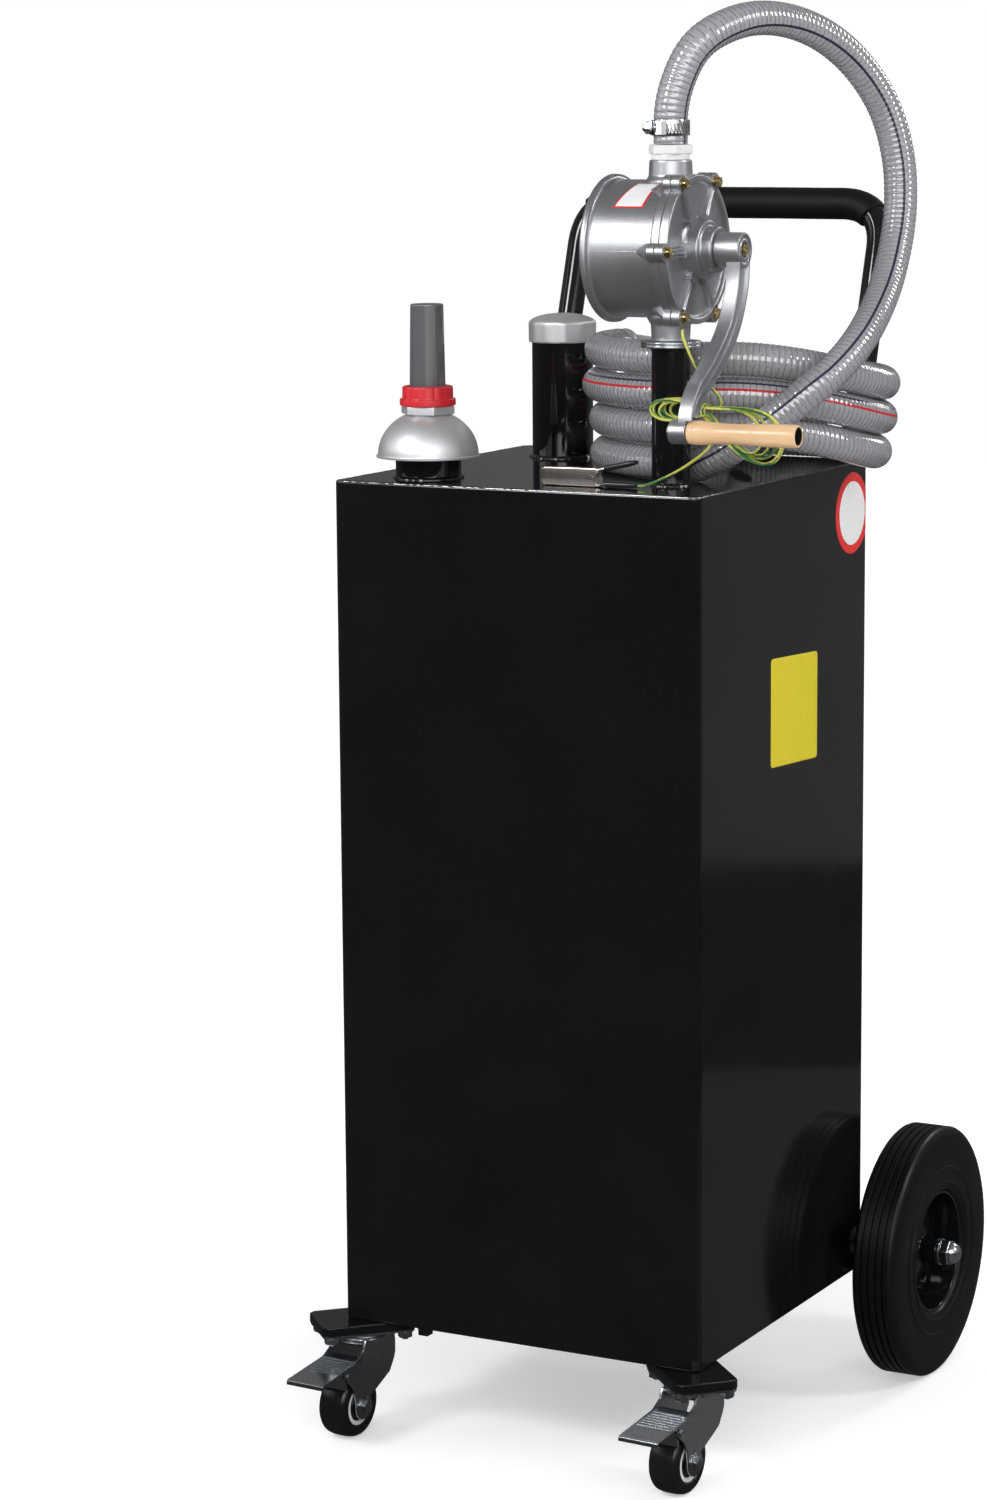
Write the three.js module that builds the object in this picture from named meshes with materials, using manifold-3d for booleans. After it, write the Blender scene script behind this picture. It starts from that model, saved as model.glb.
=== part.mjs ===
// Fuel caddy: an upright wheeled tank with a rotary hand pump, a stored hose and an earth wire.
// Millimetres, +Z up, +X to the right, the front faces -Y. The finished group stands on z = 0
// with its origin at the centre of its box.

import * as THREE from 'three';
import { mergeVertices } from 'three/addons/utils/BufferGeometryUtils.js';
import Module from 'manifold-3d';

const wasm = await Module();
wasm.setup();

// General fits and finish
const seam = 0.1;               // gap between two fixed pieces that are welded or bolted together
const slip = 0.3;               // gap of a piece in a turned group, or of one that moves
const overrun = 2;              // how far a cut runs past the face that it opens
const weldDistance = 0.001;     // points nearer than this are one point
const fineSides = 20;
const roundSides = 12;
const smallSides = 6;
const tyreSides = 28;

// Tank
const tankWidth = 382;
const tankDepth = 390;
const tankHeight = 820;
const sheet = 2;
const tankCorner = 10;
const rimHeight = 8;
const rimRound = 3;
const cornerSteps = 3;
const drainFromLeft = 73;
const drainFromFront = 32;
const drainRadius = 10;
const drainHeight = 8;
const drainSquare = 11;
const drainSquareHeight = 8;

// Wheels under the tank
const groundClearance = 113;
const tyreRadius = 127;
const tyreWidth = 47;
const tyreBeadRadius = 62;
const tyreShoulder = 6;
const tyreBulge = 2;
const wheelCentreOut = 48;      // from the tank's side to the wheel's middle plane
const axleBehind = 34;          // from the tank's rear face to the axle
const axleRadius = 8;
const rimBarrel = 3;
const rimWeb = 3;
const rimBarrelInset = 4;
const rimDish = 14;             // how far the web leans outwards from its barrel to its hub
const hubRadius = 13.5;
const hubLength = 44;
const rimHoles = 5;
const rimHoleRadius = 9;
const rimHoleCircle = 38;
const axleBracketThick = 5;
const axleBracketOffset = 41;   // from the tank's side in to the bracket
const axleBracketHeight = 74;
const axleBracketEye = 17;
const eyeInsetShare = 0.333;
const eyeRiseShare = 0.667;
const washerThick = 2.5;
const capNutFlats = 24;
const capNutHex = 10;
const capNutDome = 10;

// Push handle
const handleTube = 25.4;
const handleWall = 2;
const handleLegInset = 24.5;      // from the tank's side in to the leg's axis
const handleFootDrop = 84;      // the straight foot's length below the tank's top
const handleRise = 245;         // from the tank's top to the top bar's axis
const handleLean = 80;          // how far back the top bar lies behind the feet
const handleBend = 46;
const handleBendSteps = 4;
const handleSides = 10;
const foamRadius = 15.8;
const foamFit = 1.3;
const gripBendSteps = 2;        // of the bend's steps, how many the foam covers
const studRadius = 3.2;
const nutFlats = 13;
const nutHeight = 6.5;
const studEnd = 2;
const studHighShare = 0.22;
const studLowShare = 0.8;

// Necks on the tank's top
const weldBead = 2.5;
const gaugeFromLeft = 72;
const gaugeFromFront = 58;
const collarRadius = 31;
const collarWall = 2.5;
const collarHeight = 26;
const fillerFromLeft = 94;
const fillerFromRear = 97;
const fillerRadius = 30.15;
const fillerWall = 2.6;
const fillerHeight = 128;
const riserFromRight = 70;
const riserFromFront = 88;
const riserRadius = 18;
const riserWall = 3;
const riserHeight = 127;
const suctionRadius = 12.5;
const suctionWall = 2;
const suctionClearance = 25;    // from the tank's floor to the open lower end

// Level gauge
const domeRadius = 47.7;
const domeWall = 1.5;
const domeLip = 2;
const domeRimHeight = 22;       // above the tank's top
const domeRise = 42.3;
const domeHoleRadius = 20;
const domeSteps = 4;
const plugFlange = 3;
const stemRadius = 17;
const hexFlats = 46;
const hexHeight = 8;
const boreRadius = 2.5;
const baseShoulder = 3.5;       // from the hexagon down to the thick part under the dome
const threadRadius = 19.8;
const threadHeight = 9;
const vialBaseRadius = 17;
const vialTopRadius = 15.5;
const vialWall = 2;
const vialTop = 2.5;
const vialFlange = 2.4;
const vialHeight = 83.5;
const ringHeight = 18;
const ringFlangeRadius = 26.5;
const ringFlangeHeight = 6;
const ringRadius = 23.2;
const ringLobe = 0.9;
const ringLobes = 12;
const ringPointsPerLobe = 3;
const rodRadius = 2;
const buttonRadius = 10;
const buttonHeight = 7;
const floatRadius = 22;
const floatHeight = 60;
const floatRound = 8;
const floatTravel = 70;
const floatHeadroom = 6;        // left above the float when the tank is full

// Filler cap
const capRadius = 33.5;
const capFlats = 12;
const capSkirt = 20;
const capDome = 8;
// Shares of the cap's radius and of its dome's height
const capDomeShares = [[0.97, 0], [0.8, 0.6], [0.45, 0.9]];
const capOverlap = 14;          // how far the skirt hangs over the neck
const capClearance = 0.9;
const sealThick = 3;
const sealWidth = 8;

// Rotary pump, measured from its shaft's axis and from the riser's axis
const pumpAxisRise = 217;       // from the tank's top to the shaft's axis
const pumpFlangeRadius = 28;
const pumpFlangeThick = 6;
const lowerPortRadius = 17.7;
const upperPortRadius = 19.5;
const upperPortTop = 81;        // above the shaft's axis
const portBore = 13;
const pumpBack = 61;            // from the riser's axis back to the rear face
const pumpFront = 20;           // from the riser's axis forward to the cover's joint
const pumpRadius = 63;
const pumpRimRadius = 68;
const pumpRimLength = 7;
const pumpGroove = 2;
const pumpFlangeLength = 8;
const chamberRadius = 52;
const chamberOffset = 4;
const pumpBackWall = 8;
const coverThick = 5;
const coverRim = 4;
const coverRimWidth = 6;
const lobeCount = 6;
const lobeCircle = 69.5;
const lobeRadius = 8.5;
const ribWidth = 5;
const ribHeight = 3.5;
const bossRadius = 27;
const bossHeight = 14;
const glandRadius = 21;
const glandHeight = 10.5;
const coverBoltRadius = 2.4;
const coverBoltFlats = 9;
const coverBoltHead = 5;
const coverBoltDepth = 14;
const coverBoltFit = 0.3;
const rotorRadius = 45;
const shaftRadius = 7;
const shaftFit = 0.3;
const vaneThick = 6;
const vaneReach = 1.5;          // how far the blade stands out of the rotor
const vaneFit = 0.3;
const rotorFace = 14;           // solid metal between the blade and the rotor's front face

// Crank
const crankReach = 189;
const crankHubRadius = 16;
const crankHubLength = 25;
const crankArmThick = 14;
const crankArmRootHalf = 12;
const crankArmTipHalf = 7.5;
const crankFlange = 3.5;
const crankPocket = 4;
const crankPinBossRadius = 11;
const crankPinBossLength = 17;
const crankPinBossInset = 6;
const crankPinRadius = 4;
const crankScrewRadius = 6.2;
const crankScrewFlats = 10.5;
const crankScrewShank = 3;
const crankScrewHead = 5;
const crankScrewDepth = 9;
const crankScrewPocket = 3.5;
const gripLength = 106;
const gripEndRadius = 10.3;
const gripSwellRadius = 11;
const gripWaistRadius = 9.2;
const gripGroove = 0.6;
const gripBore = 8;
const gripBoreDepth = 16;
const gripFit = 0.35;
const pinHeadRadius = 6;
const pinHeadHeight = 3;
const crankArmSteps = 12;
// Shares of the reach, forwards and down from the hub to the grip's pin
const crankArmShares = [
  [0, 0], [0.015, 0.17], [0.116, 0.375], [0.344, 0.566], [0.49, 0.66], [0.556, 0.76], [0.556, 0.831],
];
// Shares of the grip's length, each with the radius that the wood has there
const gripSwellShare = 0.08;
const gripWaistShare = 0.36;
const gripGrooveShare = 0.6;
const gripGrooveWidthShare = 0.02;
const gripBulgeShare = 0.8;

// Outlet and hose
const tapeRadius = 17.5;
const tapeHeight = 4.5;
const outletFlats = 37;
const outletHeight = 9;
const outletFit = 0.3;
const hoseRadius = 15.8;
const hoseSides = 10;
const hoseSteps = 40;
const clampLift = 8;            // from the hose's lower end to the band
const clampWidth = 14;
const clampBand = 1.2;
const clampFit = 0.8;
const clampHousing = 15;
const clampHousingDepth = 8;
const clampScrewRadius = 4;
const clampScrewHead = 4;
const clampTurn = 23;           // degrees, seen from above
const coilFromRight = 78.5;
const coilFromRear = 128.8;
const coilPitch = 32.8;
const coilFloorGap = 0.3;
const coilEntryRadius = 135.5;
const coilTurnRadii = [127, 131, 137.5, 134.5];
const coilEntryAngle = 265;     // degrees, anticlockwise from +X seen from above
const coilExitAngle = 178;
const coilClimbStart = 25;
const coilClimbEnd = -70;
const coilSteps = 24;
const coilSides = 6;
const spoutRadius = 11;
const spoutWall = 1.5;
const spoutCollarRadius = 15;
const spoutCollarLength = 18;
const spoutSteps = 11;
const spoutSides = 8;

// Earth wire and its clamp
const wireRadius = 1.4;
const wireSides = 8;
const wireDropSteps = 14;
const wireLeadSteps = 16;
const hankLoops = 6;
const hankPitch = 3.5;
const hankLeft = 55;
const hankRight = 80;
const hankWaist = 3.4;
const hankLeftRise = 14;
const hankRightRise = 44;
const hankSag = 25;
const hankSmallest = 0.7;
const hankUnevenness = 2.4;
const hankSteps = 12;
const hankSides = 6;
const tieWidth = 3;
const tieThick = 1;
const tieFit = 2;
const jawReach = 52;            // from the clamp's pin forwards to the tip
const jawWidth = 14;
const jawHeight = 8.5;
const jawTipHeight = 5;
const jawTipLength = 6;
const jawWall = 1.2;
const tailReach = 36;           // from the pin back to the metal's end
const tailThick = 1.6;
const tailWidth = 7;
const upperTailFrom = 8.2;      // a tail's height above or below the pin, at the sleeve's start
const upperTailTo = 13.5;       // and at its end
const lowerTailFrom = 5.9;
const lowerTailTo = 5.9;
const sleeveWall = 1.8;
const sleeveOver = 9;           // how far a sleeve runs past the metal
const sleeveStart = 11;
const jawPinRadius = 1.5;
const jawEar = 4;
const springRadius = 2.7;
const springWire = 0.5;
const springPitch = 2;
const springCurls = 3;
const springSteps = 6;
const springSides = 4;

// Casters
const casterInset = 13;         // from the tank's corner in to the swivel axis, both ways
const casterTurn = -4;          // degrees, how the forks stand at rest
const bracketLength = 94;
const bracketWidth = 62;
const bracketDepth = 9;
const bracketSheet = 2.5;
const bracketCorner = 8;
const plateLength = 92;
const plateWidth = 60;
const plateThick = 2.5;
const plateCorner = 6;
const boltSpacingLong = 74;
const boltSpacingWide = 44;
const boltHeadHeight = 3;
const raceRadius = 25;
const raceHeight = 4;
const forkTopRadius = 23;
const forkTopThick = 3;
const kingPinRadius = 5;
const casterTrail = 27;
const casterRadius = 32;
const casterWidth = 31;
const casterHubRadius = 19.5;
const casterCrown = 3;
const casterHubInset = 1.5;
const casterCapRadius = 12;
const casterAxleRadius = 4;
const casterBoltHead = 5;
const forkGap = 34.6;
const forkSheet = 2.5;
const forkBack = 28;
const forkEar = 5;
const forkFoot = 13;
const forkCornerSides = 8;
// Shares of the back wall's reach and of the height down to the wheel's axle
const forkBackShares = [[1, 0.2], [1, 0.42], [0.6, 0.68]];
const pedalWidth = 42;
const pedalSheet = 2;
const pedalRear = 28;
const pedalTip = 100.5;
const pedalPinAhead = 55;
const pedalPinDrop = 44;
const pedalPinRadius = 2.5;
const pedalLugHalf = 5;
const pedalLugDrop = 14.5;       // below the pin, down towards the tyre
const pedalLugBack = 2;
const pedalRearDrop = 32;
const pedalTipDrop = 40;
const pedalLip = 5;

// Finishes
const gloss = { color: 0x08080a, roughness: 0.15, metalness: 0.35 };
const zinc = { color: 0xb4bcc2, roughness: 0.3, metalness: 0.9 };
const castMetal = { color: 0x96999d, roughness: 0.42, metalness: 0.75 };
const brass = { color: 0xb8963e, roughness: 0.3, metalness: 0.9 };
const rubber = { color: 0x0e0e0f, roughness: 0.75, metalness: 0 };
const foam = { color: 0x141414, roughness: 0.9, metalness: 0 };
const silver = { color: 0xb9bcbf, roughness: 0.3, metalness: 0.8 };
const redPlastic = { color: 0xd51f2b, roughness: 0.4, metalness: 0 };
const smoke = { color: 0x5d5e62, roughness: 0.15, metalness: 0 };
const whitePlastic = { color: 0xe8e8e6, roughness: 0.5, metalness: 0 };
const wood = { color: 0xe2b784, roughness: 0.55, metalness: 0 };
const clearHose = { color: 0xb5b5ba, roughness: 0.3, metalness: 0 };
const wireGreen = { color: 0xb9c43a, roughness: 0.5, metalness: 0 };
const steel = { color: 0x8e9296, roughness: 0.35, metalness: 0.9 };
const blackSleeve = { color: 0x101012, roughness: 0.4, metalness: 0 };

const degrees = Math.PI / 180;
const fullTurn = 2 * Math.PI;
const wholeTurn = 360;

// One closed body with merged points, no empty faces, and its faces pointing out
function closed(geometry) {
  const bare = geometry.clone();
  bare.deleteAttribute('normal');
  bare.deleteAttribute('uv');
  const merged = mergeVertices(bare, weldDistance);
  const place = merged.getAttribute('position');
  const corner = [new THREE.Vector3(), new THREE.Vector3(), new THREE.Vector3()];
  const kept = [];
  let volume = 0;
  for (let i = 0; i < merged.index.count; i += 3) {
    const face = [0, 1, 2].map((k) => merged.index.getX(i + k));
    if (new Set(face).size < 3) continue;
    kept.push(...face);
    face.forEach((point, k) => corner[k].fromBufferAttribute(place, point));
    volume += corner[0].dot(corner[1].cross(corner[2]));
  }
  merged.setIndex(volume < 0 ? kept.reverse() : kept);
  return merged;
}

function toSolid(geometry) {
  const body = closed(geometry);
  return new wasm.Manifold(new wasm.Mesh({
    numProp: 3,
    vertProperties: new Float32Array(body.getAttribute('position').array),
    triVerts: new Uint32Array(body.index.array),
  }));
}

function fromSolid(body) {
  const mesh = body.getMesh();
  const geometry = new THREE.BufferGeometry();
  geometry.setAttribute('position', new THREE.BufferAttribute(mesh.vertProperties, 3));
  geometry.setIndex(Array.from(mesh.triVerts));
  return geometry;
}

function join(first, ...others) {
  return fromSolid(others.reduce((body, other) => body.add(toSolid(other)), toSolid(first)));
}

function cut(first, ...others) {
  return fromSolid(others.reduce((body, other) => body.subtract(toSolid(other)), toSolid(first)));
}

function moved(geometry, x = 0, y = 0, z = 0) {
  return geometry.clone().translate(x, y, z);
}

function turnedAbout(geometry, axis, angle) {
  return geometry.clone().applyMatrix4(new THREE.Matrix4().makeRotationAxis(axis, angle));
}

const axisX = new THREE.Vector3(1, 0, 0);
const axisY = new THREE.Vector3(0, 1, 0);
const axisZ = new THREE.Vector3(0, 0, 1);
const quarter = Math.PI / 2;

// A body turned about Z from [radius, height] pairs
function turned(profile, sides = roundSides) {
  const points = profile.map(([radius, height]) => new THREE.Vector2(radius, height));
  return closed(new THREE.LatheGeometry(points, sides).rotateX(quarter));
}

// A wheel's body; it stands on a flat of its polygon, at the profile's own radius
function rolled(profile, sides) {
  const half = Math.PI / sides;
  const body = turned(profile, sides).rotateZ(half);
  return body.scale(1 / Math.cos(half), 1 / Math.cos(half), 1);
}

function rod(radius, low, high, sides = roundSides) {
  return turned([[0, low], [radius, low], [radius, high], [0, high]], sides);
}

function sleeve(inner, outer, low, high, sides = roundSides) {
  return turned([[inner, low], [outer, low], [outer, high], [inner, high], [inner, low]], sides);
}

function alongX(geometry) {
  return turnedAbout(geometry, axisY, quarter);
}

function alongY(geometry) {
  return turnedAbout(geometry, axisX, -quarter);
}

function block(lowX, highX, lowY, highY, lowZ, highZ) {
  const box = new THREE.BoxGeometry(highX - lowX, highY - lowY, highZ - lowZ);
  return box.translate((lowX + highX) / 2, (lowY + highY) / 2, (lowZ + highZ) / 2);
}

function slab(points, low, high) {
  const shape = new THREE.Shape(points.map(([x, y]) => new THREE.Vector2(x, y)));
  const body = new THREE.ExtrudeGeometry(shape, { depth: high - low, bevelEnabled: false });
  return closed(body.translate(0, 0, low));
}

// A slab drawn in the plane of Y and Z, from one X to another
function sideSlab(points, lowX, highX) {
  const flat = slab(points, lowX, highX);
  const basis = new THREE.Matrix4().makeBasis(axisY, axisZ, axisX);
  return flat.applyMatrix4(basis);
}

function roundedOutline(width, depth, corner) {
  const points = [];
  const centres = [[1, 1], [-1, 1], [-1, -1], [1, -1]];
  centres.forEach(([sideX, sideY], quadrant) => {
    for (let step = 0; step <= cornerSteps; step += 1) {
      const angle = (quadrant + step / cornerSteps) * quarter;
      const x = sideX * (width / 2 - corner) + corner * Math.cos(angle);
      points.push([x, sideY * (depth / 2 - corner) + corner * Math.sin(angle)]);
    }
  });
  return points;
}

function polygon(radius, sides, start = 0) {
  return Array.from({ length: sides }, (_, i) => {
    const angle = start + i * fullTurn / sides;
    return [radius * Math.cos(angle), radius * Math.sin(angle)];
  });
}

function hexagon(flats, low, high) {
  return slab(polygon(flats / Math.sqrt(3), 6), low, high);
}

// A tube along a curve; with no inner radius it is solid
function tube(curve, outer, inner, steps, sides) {
  const ring = (radius) => polygon(radius, sides).map(([x, y]) => new THREE.Vector2(x, y));
  const shape = new THREE.Shape(ring(outer));
  if (inner > 0) shape.holes.push(new THREE.Path(ring(inner)));
  return closed(new THREE.ExtrudeGeometry(shape, { steps, extrudePath: curve, bevelEnabled: false }));
}

// A solid tube through each of the given points, with flat ends square to the route
function wound(points, radius, sides, turnFirst = 0) {
  const heading = points.map((point, i) => {
    const before = points[Math.max(i - 1, 0)];
    const after = points[Math.min(i + 1, points.length - 1)];
    return after.clone().sub(before).normalize();
  });
  const normal = new THREE.Vector3().crossVectors(heading[0], axisZ);
  if (normal.lengthSq() < weldDistance) normal.copy(axisX);
  normal.normalize().applyAxisAngle(heading[0], turnFirst);
  const corners = [];
  points.forEach((point, i) => {
    if (i > 0) {
      const swing = new THREE.Quaternion().setFromUnitVectors(heading[i - 1], heading[i]);
      normal.applyQuaternion(swing);
    }
    const side = new THREE.Vector3().crossVectors(heading[i], normal);
    for (let k = 0; k < sides; k += 1) {
      const angle = k * fullTurn / sides;
      const corner = point.clone().addScaledVector(normal, radius * Math.cos(angle));
      corners.push(corner.addScaledVector(side, radius * Math.sin(angle)));
    }
  });
  const faces = [];
  for (let i = 0; i + 1 < points.length; i += 1) {
    for (let k = 0; k < sides; k += 1) {
      const next = (k + 1) % sides;
      const [a, b] = [i * sides + k, i * sides + next];
      faces.push(a, b, b + sides, a, b + sides, a + sides);
    }
  }
  const last = (points.length - 1) * sides;
  for (let k = 1; k + 1 < sides; k += 1) {
    faces.push(0, k + 1, k, last, last + k, last + k + 1);
  }
  const geometry = new THREE.BufferGeometry().setFromPoints(corners);
  geometry.setIndex(faces);
  return closed(geometry);
}

// The least gap between two stretches of a wound tube that aren't neighbours along it
function leastGap(points, radius, apart) {
  let least = Infinity;
  const nearest = new THREE.Vector3();
  for (let i = 0; i + 1 < points.length; i += 1) {
    const stretch = new THREE.Line3(points[i], points[i + 1]);
    for (let k = 0; k < points.length; k += 1) {
      if (Math.abs(k - i) < apart) continue;
      stretch.closestPointToPoint(points[k], true, nearest);
      least = Math.min(least, nearest.distanceTo(points[k]) - 2 * radius);
    }
  }
  return least;
}

function spline(points) {
  const route = points.map(([x, y, z]) => new THREE.Vector3(x, y, z));
  return new THREE.CatmullRomCurve3(route, false, 'centripetal');
}

function stepBetween(share) {
  const inside = Math.min(Math.max(share, 0), 1);
  return inside * inside * (3 - 2 * inside);
}

function piece(name, geometry, finish) {
  const mesh = new THREE.Mesh(geometry, new THREE.MeshStandardMaterial(finish));
  mesh.name = name;
  return mesh;
}

function assembly(x, y, z, ...members) {
  const group = new THREE.Group();
  group.position.set(x, y, z);
  group.add(...members);
  return group;
}

// Places that several sub-parts share
const sideX = tankWidth / 2;
const rearY = tankDepth / 2;
const gaugeX = gaugeFromLeft - sideX;
const gaugeY = gaugeFromFront - rearY;
const fillerX = fillerFromLeft - sideX;
const fillerY = rearY - fillerFromRear;
const riserX = sideX - riserFromRight;
const riserY = riserFromFront - rearY;
const pumpZ = tankHeight + pumpAxisRise;
const drainX = drainFromLeft - sideX;
const drainY = drainFromFront - rearY;
const axleY = rearY + axleBehind;
const axleZ = tyreRadius - groundClearance;
const wheelX = sideX + wheelCentreOut;
const legX = sideX - handleLegInset;
const handleOuter = handleTube / 2;
const footY = rearY + seam + handleOuter;

// Tank

function tankTop() {
  const width = tankWidth - 2 * rimRound;
  const depth = tankDepth - 2 * rimRound;
  const outline = roundedOutline(width, depth, tankCorner - rimRound);
  const shape = new THREE.Shape(outline.map(([x, y]) => new THREE.Vector2(x, y)));
  const rounded = new THREE.ExtrudeGeometry(shape, {
    depth: rimHeight,
    bevelThickness: rimRound,
    bevelSize: rimRound,
    bevelSegments: 2,
  }).translate(0, 0, tankHeight - rimHeight - rimRound);
  const below = block(-tankWidth, tankWidth, -tankDepth, tankDepth, 0, tankHeight - rimHeight);
  const inner = roundedOutline(tankWidth - 2 * sheet, tankDepth - 2 * sheet, tankCorner - sheet);
  const hollow = slab(inner, tankHeight - rimHeight - overrun, tankHeight - sheet);
  const through = (radius, x, y) => moved(rod(radius, tankHeight - rimHeight, tankHeight + overrun), x, y);
  return cut(
    rounded,
    below,
    hollow,
    through(collarRadius - collarWall, gaugeX, gaugeY),
    through(fillerRadius - fillerWall, fillerX, fillerY),
    through(riserRadius - riserWall, riserX, riserY),
  );
}

function tankShell() {
  const top = tankHeight - rimHeight - seam;
  const outer = slab(roundedOutline(tankWidth, tankDepth, tankCorner), 0, top);
  const inner = roundedOutline(tankWidth - 2 * sheet, tankDepth - 2 * sheet, tankCorner - sheet);
  return cut(outer, slab(inner, sheet, tankHeight));
}

// A threaded boss with a square plug, under the bottom
function drainPlug() {
  const square = polygon(drainSquare / Math.SQRT2, 4, quarter / 2);
  return join(
    rod(drainRadius, -drainHeight, -seam),
    slab(square, -drainHeight - drainSquareHeight, -drainHeight + seam),
  );
}

// A pipe with a weld bead round its foot, and one round its top if asked for
function neck(radius, wall, height, beadOnTop) {
  const inner = radius - wall;
  const half = weldBead / 2;
  const profile = [
    [inner, 0], [radius + weldBead, 0], [radius + weldBead - half / 2, half], [radius, weldBead],
  ];
  if (beadOnTop) {
    profile.push([radius, height - weldBead], [radius + half, height - half], [radius + half, height]);
  } else {
    profile.push([radius, height]);
  }
  profile.push([inner, height], [inner, 0]);
  return turned(profile, fineSides);
}

function suctionTube() {
  const low = sheet + suctionClearance - tankHeight;
  return sleeve(suctionRadius - suctionWall, suctionRadius, low, riserHeight + pumpFlangeThick);
}

// Push handle

// A route through given points, one step of the tube from each point to the next
class Knots extends THREE.Curve {
  constructor(points) {
    super();
    this.points = points;
  }

  getPoint(share, target = new THREE.Vector3()) {
    const place = Math.min(Math.max(share, 0), 1) * (this.points.length - 1);
    const first = Math.min(Math.floor(place), this.points.length - 2);
    return target.lerpVectors(this.points[first], this.points[first + 1], place - first);
  }

  getPointAt(share, target) {
    return this.getPoint(share, target);
  }

  getTangentAt(share, target = new THREE.Vector3()) {
    const step = 1 / (this.points.length - 1) / 2;
    return target.subVectors(this.getPoint(share + step), this.getPoint(share - step)).normalize();
  }
}

// Points of half of the handle, from its foot to the start of the top bar
function handleHalf(side) {
  const foot = tankHeight - handleFootDrop;
  const bar = tankHeight + handleRise;
  const barY = footY + handleLean;
  const knee = handleBend / 2;
  const legLength = Math.hypot(handleRise, handleLean);
  const [upY, upZ] = [handleLean / legLength, handleRise / legLength];
  const at = (x, y, z) => new THREE.Vector3(side * x, y, z);
  const bend = (from, by, to) => (
    new THREE.QuadraticBezierCurve3(from, by, to).getPoints(handleBendSteps)
  );
  return [
    at(legX, footY, foot),
    ...bend(
      at(legX, footY, tankHeight - knee),
      at(legX, footY, tankHeight),
      at(legX, footY + knee * upY, tankHeight + knee * upZ),
    ),
    ...bend(
      at(legX, barY - handleBend * upY, bar - handleBend * upZ),
      at(legX, barY, bar),
      at(legX - handleBend, barY, bar),
    ),
  ];
}

const handlePoints = [...handleHalf(-1), ...handleHalf(1).reverse()];

const studHeights = [studHighShare, studLowShare].map((share) => tankHeight - handleFootDrop * share);

function handleFrame() {
  const steps = handlePoints.length - 1;
  const body = tube(new Knots(handlePoints), handleOuter, handleOuter - handleWall, steps, handleSides);
  const studs = [];
  const nutFrom = handleTube - seam;
  for (const x of [-legX, legX]) {
    for (const z of studHeights) {
      const stud = studWithNut(handleTube + nutHeight + studEnd, nutFrom);
      studs.push(moved(alongY(stud), x, rearY + seam, z));
    }
  }
  return join(body, ...studs);
}

function handleGrip() {
  const skipped = 1 + handleBendSteps + 1 + handleBendSteps - gripBendSteps;
  const points = handlePoints.slice(skipped, handlePoints.length - skipped);
  const inner = handleOuter / Math.cos(Math.PI / handleSides) + foamFit;
  return tube(new Knots(points), foamRadius, inner, points.length - 1, handleSides);
}

// A stud with a nut, from its foot at zero along +Z
function studWithNut(length, nutFrom) {
  return join(
    rod(studRadius, 0, length, smallSides),
    hexagon(nutFlats, nutFrom, nutFrom + nutHeight),
  );
}

function casterPlaces() {
  return [-1, 1].map((side) => [side * (sideX - casterInset), casterInset - rearY, side]);
}

// Rear axle and wheels

function axleBracket() {
  const reach = axleBehind + axleBracketEye;
  const low = axleZ - axleBracketEye;
  const inset = axleBracketEye * eyeInsetShare;
  const rise = axleBracketEye * eyeRiseShare;
  const outline = [
    [seam, low], [axleBehind, low], [reach - inset, axleZ - rise], [reach, axleZ],
    [reach - inset, axleZ + rise], [seam, low + axleBracketHeight],
  ].map(([y, z]) => [rearY + y, z]);
  const hole = moved(alongX(rod(axleRadius + seam, -axleBracketThick, axleBracketThick)), 0, axleY, axleZ);
  return cut(sideSlab(outline, -axleBracketThick / 2, axleBracketThick / 2), hole);
}

const hubOuter = wheelX + hubLength / 2;
const hubInner = wheelX - hubLength / 2;
const washerFrom = hubOuter + slip;
const nutFrom = washerFrom + washerThick - seam;
const axleEnd = nutFrom + capNutHex;

// The axle with a collar, a washer and a domed nut beside each wheel
function rearAxle() {
  const collarTo = hubInner - slip;
  const collar = rod(hubRadius, collarTo - washerThick, collarTo);
  const washer = rod(hubRadius, washerFrom, washerFrom + washerThick);
  const domeFrom = capNutFlats / 2 - seam;
  const dome = [[0, axleEnd - overrun], [domeFrom, axleEnd - overrun]];
  for (let step = 0; step <= domeSteps; step += 1) {
    const angle = quarter * step / domeSteps;
    dome.push([domeFrom * Math.cos(angle), axleEnd + capNutDome * Math.sin(angle)]);
  }
  const fittings = [collar, washer, hexagon(capNutFlats, nutFrom, axleEnd), turned(dome)];
  const left = fittings.map((fitting) => turnedAbout(fitting, axisX, 2 * quarter));
  return alongX(join(rod(axleRadius, -axleEnd, axleEnd), ...fittings, ...left));
}

function rearTyre() {
  const half = tyreWidth / 2;
  const shoulder = tyreRadius - tyreShoulder;
  const profile = [
    [tyreBeadRadius, -half + rimBarrelInset],
    [tyreBeadRadius + tyreShoulder, -half],
    [(tyreBeadRadius + shoulder) / 2, -half - tyreBulge / 2],
    [shoulder, -half + tyreBulge / 2],
    [tyreRadius, -half + tyreShoulder],
  ];
  profile.push(
    [tyreRadius, half - tyreShoulder],
    [shoulder, half - tyreBulge / 2],
    [(tyreBeadRadius + shoulder) / 2, half + tyreBulge / 2],
    [tyreBeadRadius + tyreShoulder, half],
    [tyreBeadRadius, half - rimBarrelInset],
  );
  profile.push(profile[0]);
  return rolled(profile, tyreSides);
}

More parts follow.
